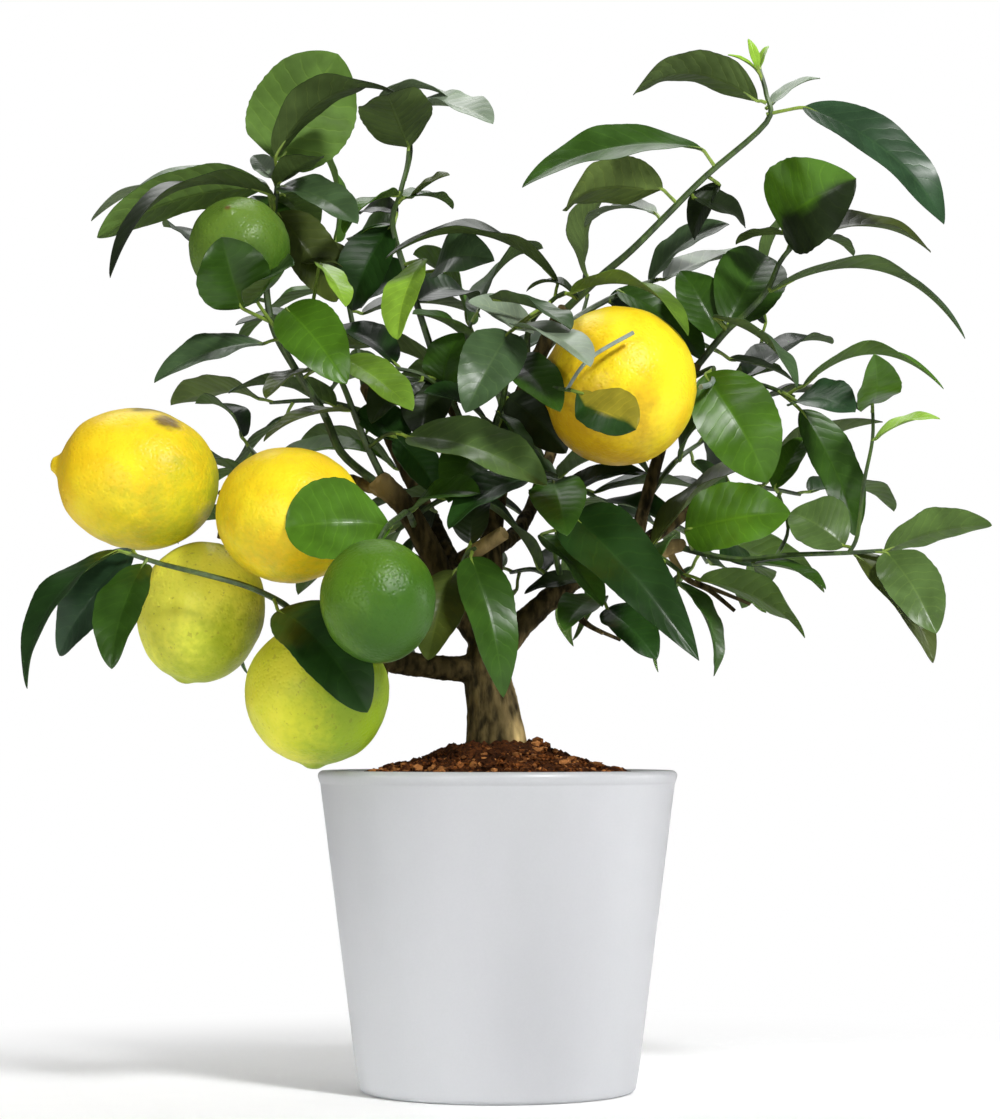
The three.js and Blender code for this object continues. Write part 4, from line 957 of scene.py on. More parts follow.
class Effects:
    """The shared effects, each a node group that is built once."""

    def __init__(self) -> None:
        """Builds every effect."""
        self.mottle = self._build_mottle()
        self.relief = self._build_relief()
        self.veins = self._build_veins()

    @staticmethod
    def _open(name: str, inputs: dict[str, float], outputs: tuple[str, ...]) -> tuple:
        """Starts a node group whose sockets are all numbers.

        Args:
            name: Name of the group.
            inputs: Its inputs and their defaults.
            outputs: Its outputs.

        Returns:
            The group, its graph, its input node's outputs and its output node's inputs.
        """
        tree = bpy.data.node_groups.new(name, "ShaderNodeTree")
        for label, value in inputs.items():
            socket = tree.interface.new_socket(
                name=label, in_out="INPUT", socket_type="NodeSocketFloat",
            )
            socket.default_value = value
        for label in outputs:
            tree.interface.new_socket(name=label, in_out="OUTPUT", socket_type="NodeSocketFloat")
        graph = Graph(tree)
        source = graph.add("NodeGroupInput").outputs
        target = graph.add("NodeGroupOutput").inputs
        return tree, graph, source, target

    def _build_mottle(self) -> bpy.types.NodeTree:
        """Uneven colour: one value that wanders over the surface between two ends.

        Returns:
            The node group.
        """
        tree, graph, source, target = self._open(
            "uneven_colour", {"Scale": 100, "Stretch": 1, "Low": 0, "High": 1}, ("Value",),
        )
        stretch = {0: 1.0, 1: 1.0, 2: source["Stretch"]}
        drawn = graph.add("ShaderNodeVectorMath", {
            0: graph.place(), 1: graph.add("ShaderNodeCombineXYZ", stretch).outputs[0],
        }, operation="MULTIPLY").outputs[0]
        cloud = graph.noise(drawn, source["Scale"], detail=4.0)
        graph.feed(target, {"Value": graph.spread(cloud, 0.3, 0.7, source["Low"], source["High"])})
        return tree

    def _build_relief(self) -> bpy.types.NodeTree:
        """Small relief: pits from cells and a finer roughness, as one height.

        Returns:
            The node group.
        """
        tree, graph, source, target = self._open(
            "pitted_relief", {"Pits": 600, "Grain": 1500, "Pit depth": 0.6, "Grain depth": 0.2},
            ("Height", "Pit"),
        )
        place = graph.place()
        inputs = {"Vector": place, "Scale": source["Pits"]}
        cells = graph.add("ShaderNodeTexVoronoi", inputs, feature="SMOOTH_F1")
        pit = graph.spread(cells.outputs[0], 0.05, 0.5, 0.0, 1.0)
        low = graph.maths("MULTIPLY", pit, source["Pit depth"])
        grain = graph.noise(place, source["Grain"])
        fine = graph.maths("MULTIPLY", grain, source["Grain depth"])
        graph.feed(target, {"Height": graph.maths("ADD", low, fine), "Pit": pit})
        return tree

    def _build_veins(self) -> bpy.types.NodeTree:
        """A leaf's midrib and side veins, from the blade's own UV map.

        Returns:
            The node group.
        """
        tree, graph, source, target = self._open(
            "leaf_veins", {"Side veins": SIDE_VEINS, "Width": 0.07}, ("Vein", "Height"),
        )
        blade = graph.add("ShaderNodeUVMap", uv_map="blade").outputs[0]
        wander = graph.noise(blade, 7.0, detail=1.0)
        along, across, _ = graph.add("ShaderNodeSeparateXYZ", {0: blade}).outputs
        side = graph.maths("ABSOLUTE", graph.maths("MULTIPLY_ADD", across, 2.0, -1.0))
        lean = graph.maths("MULTIPLY", graph.maths("POWER", side, VEIN_BEND), VEIN_LEAN)
        shift = graph.maths("MULTIPLY_ADD", wander, 0.05, graph.maths("SUBTRACT", along, lean))
        phase = graph.maths("FRACT", graph.maths("MULTIPLY", shift, source["Side veins"]))
        near = graph.maths("ABSOLUTE", graph.maths("SUBTRACT", phase, 0.5))
        edge_fade = graph.spread(side, 0.75, 0.98, 1.0, 0.25)
        tip_fade = graph.spread(along, 0.80, 0.95, 1.0, 0.0)
        fade = graph.maths("MULTIPLY", edge_fade, tip_fade)
        line = graph.spread(near, 0.0, source["Width"], 1.0, 0.0)
        rib_width = graph.spread(side, 0.012, 0.05, 1.0, 0.0)
        rib = graph.maths("MULTIPLY", rib_width, graph.spread(along, 0.84, 0.97, 1.0, 0.0))
        quilt = graph.spread(near, 0.0, 0.5, 0.0, 1.0)
        graph.feed(target, {
            "Vein": graph.maths("MAXIMUM", graph.maths("MULTIPLY", line, fade), rib),
            "Height": graph.maths("SUBTRACT", quilt, graph.maths("MULTIPLY", rib, 0.7)),
        })
        return tree


class Paint(Graph):
    """The graph of one material, with its main shader and the shared effects at hand."""

    def __init__(self, material: bpy.types.Material, effects: Effects) -> None:
        """Opens a material's graph.

        Args:
            material: The material.
            effects: The shared effects.
        """
        super().__init__(material.node_tree)
        self.effects = effects
        self.shader = self.nodes["Principled BSDF"]

    def dress(self, inputs: dict) -> None:
        """Feeds the main shader's sockets."""
        self.feed(self.shader.inputs, inputs)

    def mottle(
        self, scale: float, low: float = 0.0, high: float = 1.0, stretch: float = 1.0,
    ) -> Socket:
        """Places uneven colour; its scale along Z is multiplied by a stretch."""
        inputs = {"Scale": scale, "Stretch": stretch, "Low": low, "High": high}
        return self.add("ShaderNodeGroup", inputs, node_tree=self.effects.mottle).outputs[0]

    def relief(
        self, pits: float, grain: float, pit_depth: float, grain_depth: float,
    ) -> bpy.types.NodeOutputs:
        """Places small relief and returns the outputs "Height" and "Pit"."""
        inputs = {"Pits": pits, "Grain": grain, "Pit depth": pit_depth, "Grain depth": grain_depth}
        return self.add("ShaderNodeGroup", inputs, node_tree=self.effects.relief).outputs

    def veins(self, width: float) -> bpy.types.NodeOutputs:
        """Places a leaf's veins and returns the outputs "Vein" and "Height"."""
        inputs = {"Side veins": SIDE_VEINS, "Width": width}
        return self.add("ShaderNodeGroup", inputs, node_tree=self.effects.veins).outputs


# ---- finishes


@dataclass(frozen=True)
class Finish:
    """A finish that becomes one material; each kind of finish wires its own shader."""

    name: str

    def material(self, effects: Effects) -> bpy.types.Material:
        """Builds the material.

        Args:
            effects: The shared effects.

        Returns:
            The material.
        """
        material = bpy.data.materials.new(self.name)
        material.use_nodes = True
        self.wire(Paint(material, effects))
        return material

    def wire(self, paint: Paint) -> None:
        """Wires the shader.

        Args:
            paint: The material's paint.
        """
        raise NotImplementedError


@dataclass(frozen=True)
class PotGlaze(Finish):
    """White satin glaze, a little uneven from top to bottom, in faint vertical bands of painted
    reflection.
    """

    name: str = "white_glaze"
    light: Colour = (0.450, 0.458, 0.472)
    dark: Colour = (0.405, 0.412, 0.426)
    roughness: float = 0.36

    def wire(self, paint: Paint) -> None:
        """Wires the glaze: cloudy bands of painted reflection, with fine specks and a faint relief.

        Args:
            paint: The material's paint.
        """
        # Clouds drawn out upwards give faint vertical bands: painted reflection on the glaze.
        cloud = paint.mottle(scale=22.0, stretch=0.35)
        speck = paint.mottle(scale=900.0, high=0.16)
        share = paint.maths("ADD", paint.maths("MULTIPLY", cloud, 0.55), speck)
        relief = paint.relief(pits=260.0, grain=1400.0, pit_depth=0.4, grain_depth=0.4)
        paint.dress({
            "Base Color": paint.mix(share, rgb(self.light), rgb(self.dark)),
            "Roughness": paint.maths("MULTIPLY_ADD", cloud, 0.1, self.roughness),
            "Coat Weight": 0.2,
            "Coat Roughness": 0.25,
            "Normal": paint.bump(relief["Height"], strength=0.05, distance=0.0004),
        })


@dataclass(frozen=True)
class PottingMix(Finish):
    """Red-brown potting mix, with paler and darker crumbs and painted shade between them."""

    name: str = "potting_mix"
    dark: Colour = (0.024, 0.008, 0.003)
    red: Colour = (0.290, 0.092, 0.022)
    tan: Colour = (0.480, 0.200, 0.062)

    def wire(self, paint: Paint) -> None:
        """Wires the mix, its crumbs told apart by their own "crumb" attribute.

        Args:
            paint: The material's paint.
        """
        crumb = paint.attribute("crumb")
        fine = paint.mottle(scale=700.0)
        broad = paint.mottle(scale=90.0, low=0.25)
        cloud = paint.maths("MULTIPLY", fine, broad)
        # The mound has no crumb value, so it takes the dark end: painted shade between the crumbs.
        tone_with_gap_shade = paint.maths("MULTIPLY", cloud, paint.spread(crumb, 0.0, 0.5, 0.35, 1.3), clamp=True)
        earth = paint.mix(tone_with_gap_shade, rgb(self.dark), rgb(self.red))
        pale = paint.spread(crumb, 0.62, 1.0, 0.0, 0.95)
        relief = paint.relief(pits=500.0, grain=1800.0, pit_depth=0.8, grain_depth=0.5)
        paint.dress({
            "Base Color": paint.mix(pale, earth, rgb(self.tan)),
            "Roughness": paint.maths("MULTIPLY_ADD", fine, 0.15, 0.8),
            "Specular IOR Level": 0.08,
            "Normal": paint.bump(relief["Height"], strength=0.9, distance=0.0015),
        })


@dataclass(frozen=True)
class Bark(Finish):
    """Bark with dark furrows along the limb, tan where it is worn, cut or callused, and tan as
    painted light on the lit right of the trunk.
    """

    name: str = "bark"
    furrow: Colour = (0.013, 0.010, 0.003)
    brown: Colour = (0.046, 0.034, 0.010)
    tan: Colour = (0.560, 0.410, 0.170)
    tan_share: float = 0.17

    def wire(self, paint: Paint) -> None:
        """Wires the bark; the "worn" attribute brings out the tan of real wear and of painted
        light.

        Args:
            paint: The material's paint.
        """
        furrows = paint.mottle(scale=300.0, stretch=0.34)
        broad = paint.mottle(scale=60.0, stretch=0.6)
        base = paint.mix(furrows, rgb(self.furrow), rgb(self.brown))
        patches = paint.maths("MULTIPLY", broad, paint.maths("MULTIPLY", furrows, self.tan_share))
        # The worn share holds the worn knots and a band of painted light on the trunk.
        share = paint.maths("ADD", patches, paint.attribute("worn"), clamp=True)
        paint.dress({
            "Base Color": paint.mix(share, base, rgb(self.tan)),
            "Roughness": paint.maths("MULTIPLY_ADD", furrows, -0.12, 0.88),
            "Specular IOR Level": 0.12,
            "Normal": paint.bump(furrows, strength=0.6, distance=0.0008),
        })


@dataclass(frozen=True)
class StemSkin(Finish):
    """Smooth green skin of a young stem or leaf stalk."""

    light: Colour
    dark: Colour

    def wire(self, paint: Paint) -> None:
        """Wires the skin, streaked along the stem.

        Args:
            paint: The material's paint.
        """
        streak = paint.mottle(scale=260.0, stretch=0.4)
        paint.dress({
            "Base Color": paint.mix(streak, rgb(self.light), rgb(self.dark)),
            "Roughness": paint.maths("MULTIPLY_ADD", streak, 0.15, 0.38),
            "Normal": paint.bump(streak, strength=0.2, distance=0.0003),
        })


@dataclass(frozen=True)
class LeafFace(Finish):
    """One face of a leaf: waxy and veined above, paler and duller below."""

    tint: Colour
    tint_share: float
    vein_gain: float
    roughness: float
    gloss: float
    relief: float

    def wire(self, paint: Paint) -> None:
        """Wires the face; the leaf's own colour comes from its "tone" attribute.

        Args:
            paint: The material's paint.
        """
        tone = paint.attribute("tone", "Color")
        veins = paint.veins(width=0.10)
        cloud = paint.mottle(scale=70.0, low=0.78, high=1.22)
        body = paint.mix(self.tint_share, tone, rgb(self.tint))
        body = paint.mix(1.0, body, paint.grey(cloud), "MULTIPLY")
        pale = paint.mix(1.0, body, rgb((1.3, 1.2, 1.0), self.vein_gain), "MULTIPLY")
        height = paint.maths("MULTIPLY_ADD", veins["Vein"], -0.6, veins["Height"])
        swing = 0.14
        paint.dress({
            "Base Color": paint.mix(paint.maths("MULTIPLY", veins["Vein"], 0.34), body, pale),
            "Roughness": paint.maths("MULTIPLY_ADD", cloud, swing, self.roughness - swing),
            "Specular IOR Level": self.gloss,
            "Normal": paint.bump(height, strength=self.relief, distance=0.0006),
        })


@dataclass(frozen=True)
class Peel(Finish):
    """Dimpled lemon peel, between its ripe colour and a third colour: the green that is left on it,
    which on some lemons is painted shade.
    """

    ripe: Colour
    deep: Colour
    green: Colour
    scar: Colour = (0.110, 0.052, 0.012)
    speckle: float = 0.0

    def wire(self, paint: Paint) -> None:
        """Wires the peel; "green" and "scar" attributes say where each colour lies.

        Args:
            paint: The material's paint.
        """
        broad = paint.mottle(scale=45.0)
        fine = paint.mottle(scale=330.0, low=-0.08, high=0.08)
        relief = paint.relief(pits=620.0, grain=2400.0, pit_depth=1.0, grain_depth=0.15)
        colour = paint.mix(broad, rgb(self.ripe), rgb(self.deep))
        patches = paint.maths("MULTIPLY_ADD", broad, 0.12, fine)
        # The green share is green left on the peel and, on some lemons, painted shade.
        share = paint.maths("ADD", paint.attribute("green"), patches, clamp=True)
        colour = paint.mix(paint.spread(share, 0.05, 0.95, 0.0, 1.0), colour, rgb(self.green))
        gland = paint.spread(relief["Pit"], 0.0, 0.6, 0.16, 0.0)
        shaded = paint.mix(1.0, colour, rgb((0.75, 0.8, 0.5)), "MULTIPLY")
        colour = paint.mix(gland, colour, shaded)
        dots = paint.spread(paint.mottle(scale=430.0), 0.93, 1.0, 0.0, self.speckle)
        scar = paint.maths("MAXIMUM", paint.attribute("scar"), dots)
        paint.dress({
            "Base Color": paint.mix(scar, colour, rgb(self.scar)),
            "Roughness": paint.maths("MULTIPLY_ADD", broad, 0.08, 0.36),
            "Specular IOR Level": 0.26,
            "Subsurface Weight": 0.15,
            "Subsurface Radius": (1.0, 0.6, 0.1),
            "Subsurface Scale": 0.004,
            "Normal": paint.bump(relief["Height"], strength=0.22, distance=0.0007),
        })


@dataclass(frozen=True)
class PaleFloor(Finish):
    """Pale matt floor, which shows pure white to the camera away from the pot."""

    name: str = "pale_floor"
    fade_start: float = 0.13       # metres from the pot's middle
    fade_end: float = 0.44

    def wire(self, paint: Paint) -> None:
        """Wires the floor: a fine grain, and a white glow that fades in with the distance.

        Args:
            paint: The material's paint.
        """
        place = paint.place()
        grain = paint.noise(place, 60.0)
        away = paint.add("ShaderNodeVectorMath", {0: place}, operation="LENGTH").outputs["Value"]
        seen_directly = paint.add("ShaderNodeLightPath").outputs["Is Camera Ray"]
        distance = paint.spread(away, self.fade_start, self.fade_end, 0.0, 1.0)
        fade = paint.maths("MULTIPLY", distance, seen_directly)
        glow = paint.add("ShaderNodeEmission", {"Color": WHITE, "Strength": 1.0}).outputs[0]
        blend = paint.add("ShaderNodeMixShader", {0: fade, 1: paint.shader.outputs[0], 2: glow})
        paint.dress({
            "Base Color": paint.mix(grain, rgb((0.96, 0.96, 0.965)), rgb((0.99, 0.99, 0.99))),
            "Roughness": 0.9,
            "Specular IOR Level": 0.1,
        })
        paint.feed(paint.nodes["Material Output"].inputs, {"Surface": blend.outputs[0]})


class Skin(IntEnum):
    """Materials of a shoot, by their order in its mesh."""

    UPPER = 0
    UNDER = 1
    STEM = 2
    PETIOLE = 3
    BARE = 4


LEAF_SKINS = {
    Skin.UPPER: LeafFace("leaf_upper", (0.05, 0.12, 0.02), 0.0, 1.35, 0.32, 0.22, 0.08),
    Skin.UNDER: LeafFace("leaf_under", (0.15, 0.23, 0.06), 0.4, 1.3, 0.62, 0.14, 0.3),
    Skin.STEM: StemSkin("green_stem", (0.060, 0.110, 0.020), (0.022, 0.040, 0.012)),
    Skin.PETIOLE: StemSkin("leaf_stalk", (0.230, 0.330, 0.045), (0.120, 0.190, 0.025)),
    Skin.BARE: StemSkin("bare_stalk", (0.260, 0.320, 0.270), (0.150, 0.190, 0.150)),
}
PEELS = {
    Ripeness.RIPE: Peel(
        "peel_ripe", (0.93, 0.74, 0.020), (0.86, 0.56, 0.008), (0.40, 0.43, 0.020),
    ),
    # Its third colour is the golden brown of painted shade.
    Ripeness.GOLDEN: Peel(
        "peel_ripe_shaded", (0.93, 0.74, 0.020), (0.86, 0.56, 0.008), (0.46, 0.27, 0.006),
    ),
    Ripeness.TURNING: Peel(
        "peel_turning", (0.70, 0.67, 0.050), (0.56, 0.58, 0.026), (0.24, 0.35, 0.014), speckle=0.25,
    ),
    # A paler copy of the turning peel, brightened as painted light for a lemon in shade.
    Ripeness.MELLOW: Peel(
        "peel_mellow_lit", (0.98, 0.94, 0.110), (0.90, 0.87, 0.075), (0.40, 0.48, 0.022), speckle=0.28,
    ),
    Ripeness.GREEN: Peel(
        "peel_unripe", (0.085, 0.185, 0.010), (0.060, 0.145, 0.007), (0.035, 0.105, 0.005),
    ),
    Ripeness.PALE_GREEN: Peel(
        "peel_pale_green", (0.120, 0.210, 0.026), (0.088, 0.170, 0.018), (0.050, 0.120, 0.009),
    ),
}


# ---- pot and soil


def pot_radius(height: float) -> float:
    """Returns the pot's outer radius at a height, in millimetres."""
    return POT_FOOT_RADIUS + (POT_RIM_RADIUS - POT_FOOT_RADIUS) * height / POT_HEIGHT


def arc(cx: float, cz: float, radius: float, start: float, end: float, steps: int) -> list[Spot]:
    """Lists points (radius, height) on an arc.

    Args:
        cx: Radius of the arc's centre.
        cz: Height of the arc's centre.
        radius: The arc's own radius.
        start: First angle in degrees.
        end: Last angle in degrees.
        steps: Number of steps.

    Returns:
        The points.
    """
    angles = [math.radians(start + (end - start) * step / steps) for step in range(steps + 1)]
    return [(cx + radius * math.cos(angle), cz + radius * math.sin(angle)) for angle in angles]


@dataclass
class Pot:
    """The round tapered pot with a thin lip band."""

    steps: int = 160
    wall_rows: int = 14
    inner_heights: tuple[float, ...] = (130, 90, 50, 11)
    floor_round: float = 3
    lip_step: float = 0.32
    lip_edge: tuple[Spot, ...] = ((1, -0.2), (0.75, 0.25), (0.2, 0.6))
    finish: PotGlaze = field(default_factory=PotGlaze)

    def build(self, effects: Effects) -> None:
        """Spins the pot from its outline and glazes it.

        Args:
            effects: The shared effects.
        """
        pot = spin_profile("pot_glazed", self._outline(), self.steps)
        pot.data.materials.append(self.finish.material(effects))
        smooth_shading(pot, 35)
        hand_over(pot, "pot")

    def _outline(self) -> list[Spot]:
        """Lists the pot's outline from the middle of its foot round to the middle of its floor.

        Returns:
            The outline's points. Under the band, each point of the lip's edge is a share of the
            lip's step further in, at a height from the band's lower edge.
        """
        lip = POT_WALL / 2
        step = self.lip_step
        band = POT_HEIGHT - POT_LIP_HEIGHT
        rise = band - 1 - POT_FOOT_ROUND
        heights = [
            POT_FOOT_ROUND + rise * row / self.wall_rows for row in range(1, self.wall_rows + 1)
        ]
        return [
            (0, 0),
            *arc(POT_FOOT_RADIUS - POT_FOOT_ROUND, POT_FOOT_ROUND, POT_FOOT_ROUND, -90, 0, 6),
            *[(pot_radius(height) - step * height / band, height) for height in heights],
            *[(pot_radius(band) - share * step, band + up) for share, up in self.lip_edge],
            (pot_radius(band + 1), band + 1),
            *arc(POT_RIM_RADIUS - lip, POT_HEIGHT - lip, lip, 0, 180, 14),
            *[(pot_radius(height) - POT_WALL, height) for height in self.inner_heights],
            *arc(
                pot_radius(POT_FLOOR) - POT_WALL - self.floor_round, POT_FLOOR + self.floor_round,
                self.floor_round, 0, -90, 4,
            ),
            (0, POT_FLOOR),
        ]


def soil_top(radius: float, angle: float) -> float:
    """Gives the height of the soil's domed top.

    Args:
        radius: Distance from the pot's axis, in millimetres.
        angle: Turn round the axis, in radians.

    Returns:
        The height in millimetres, with the small rise beside the trunk and some ripples.
    """
    edge = pot_radius(SOIL_EDGE_HEIGHT) - POT_WALL
    dome = SOIL_EDGE_HEIGHT + SOIL_RISE * max(1 - radius / edge, 0) ** SOIL_CURVE
    x, y = radius * math.cos(angle) - SOIL_HUMP_X, radius * math.sin(angle) - SOIL_HUMP_Y
    hump = SOIL_HUMP_RISE * math.exp(-(x ** 2 + y ** 2) / SOIL_HUMP_SPREAD)
    ripple = SOIL_RIPPLE * math.sin(angle * 9 + radius * 0.9) * math.cos(angle * 5 - radius * 1.7)
    return dome + hump + ripple


@dataclass
class Soil:
    """The mound of potting mix round the trunk, with loose crumbs on top."""

    steps: int = 150
    rings: int = 34
    edge_fade: float = 4           # how far in from the pot its roughness is full
    lump_height: float = 2.2
    grit_height: float = 1.3
    crumbs: int = 2500
    crumb_sizes: tuple[float, ...] = (0.6, 0.8, 1.0, 1.4, 2.0)
    crumb_inset: float = 3.2       # bare strips beside the pot and round the trunk
    crumb_start: float = 16.8
    seed: int = 77
    finish: PottingMix = field(default_factory=PottingMix)

    def build(self, effects: Effects) -> None:
        """Spins the mound, roughens its top, strews the crumbs and dresses it.

        Args:
            effects: The shared effects.
        """
        mound = spin_profile("soil_mound", self._outline(), self.steps)
        self._roughen(mound)
        crumbs = self._strew()
        mix = self.finish.material(effects)
        mound.data.materials.append(mix)
        crumbs.data.materials.append(mix)
        soil = join_pieces([mound, crumbs], "soil_mound")
        smooth_shading(soil, 40)
        hand_over(soil, "soil")

    def _outline(self) -> list[Spot]:
        """Lists the mound's outline, up its outside, over its top and down round the trunk.

        Returns:
            The outline's points.
        """
        foot = POT_FLOOR + GAP
        edge = pot_radius(SOIL_EDGE_HEIGHT) - POT_WALL - 2 * GAP
        collar = TRUNK.radii[2] + 0.5
        shoulder = edge - 0.6
        top = [shoulder - (shoulder - collar) * ring / self.rings for ring in range(self.rings + 1)]
        return [
            (0, foot),
            (pot_radius(foot) - POT_WALL - 2 * GAP, foot),
            (edge, SOIL_EDGE_HEIGHT - 1.5),
            *[(radius, soil_top(radius, 0)) for radius in top],
            (TRUNK.radii[1] + 0.7, 134),
            (TRUNK.radii[0] + 0.6, TRUNK_FOOT_HEIGHT),
            (0, TRUNK_FOOT_HEIGHT - GAP),
        ]

    def _roughen(self, mound: Piece) -> None:
        """Lifts and sinks the top of the mound, leaving its sides and collar alone.

        Args:
            mound: The plain mound.
        """
        places = vertex_array(mound.data)
        radius = np.hypot(places[:, 0], places[:, 1]) / MM
        edge = pot_radius(SOIL_EDGE_HEIGHT) - POT_WALL - 2 * GAP
        above = places[:, 2] > (SOIL_EDGE_HEIGHT - 1) * MM
        open_top = above & (radius > TRUNK.radii[2] + 0.2)
        fade = np.clip((edge - radius) / self.edge_fade, 0.15, 1)
        lumps = fractal(places, 110, 3.1) * self.lump_height
        height = lumps + fractal(places, 420, 9.4, 2) * self.grit_height
        places[:, 2] += np.where(open_top, height * fade * MM, 0)
        set_vertices(mound.data, places)

    def _strew(self) -> Piece:
        """Copies one rough crumb all over the top of the mound.

        Returns:
            All the crumbs as one object.
        """
        bpy.ops.object.select_all(action="DESELECT")
        bpy.ops.mesh.primitive_ico_sphere_add(subdivisions=1, radius=1)
        crumb = bpy.context.view_layer.objects.active
        shape = vertex_array(crumb.data)
        faces = np.array([list(face.vertices) for face in crumb.data.polygons])
        bpy.data.objects.remove(crumb)
        draw = random.Random(self.seed)
        verts, tris, shades = [], [], []
        for index in range(self.crumbs):
            verts.append(self._crumb(shape, draw))
            tris.append(faces + index * len(shape))
            shades.extend([draw.random()] * len(shape))
        mesh = bpy.data.meshes.new("crumbs")
        mesh.from_pydata(np.vstack(verts) * MM, [], np.vstack(tris).tolist())
        crumbs = new_piece("crumbs", mesh)
        mark(crumbs, "crumb", shades)
        return crumbs

    def _crumb(self, shape: np.ndarray, draw: random.Random) -> np.ndarray:
        """Shapes one crumb and drops it somewhere on the mound.

        Args:
            shape: Vertex places of a ball.
            draw: Source of its size, lumps and place.

        Returns:
            The crumb's vertex places, in millimetres.
        """
        reach = pot_radius(SOIL_EDGE_HEIGHT) - POT_WALL - self.crumb_inset
        radius = math.sqrt(draw.uniform(self.crumb_start ** 2, reach ** 2))
        angle = draw.uniform(0, 2 * math.pi)
        size = draw.choice(self.crumb_sizes) * draw.uniform(0.8, 1.25)
        lumpy = shape * np.array([[draw.uniform(0.7, 1.3)] for _ in shape])
        flat = (draw.uniform(0.6, 1.7), draw.uniform(0.6, 1.1), draw.uniform(0.4, 0.9))
        turn = draw.uniform(0, math.pi)
        x, y, z = (lumpy * np.array(flat)).T
        across = x * math.cos(turn) - y * math.sin(turn)
        deep = x * math.sin(turn) + y * math.cos(turn)
        height = soil_top(radius, angle) + 0.3 * size
        centre = np.array((radius * math.cos(angle), radius * math.sin(angle), height))
        return np.column_stack((across, deep, z)) * size + centre


# ---- fruits


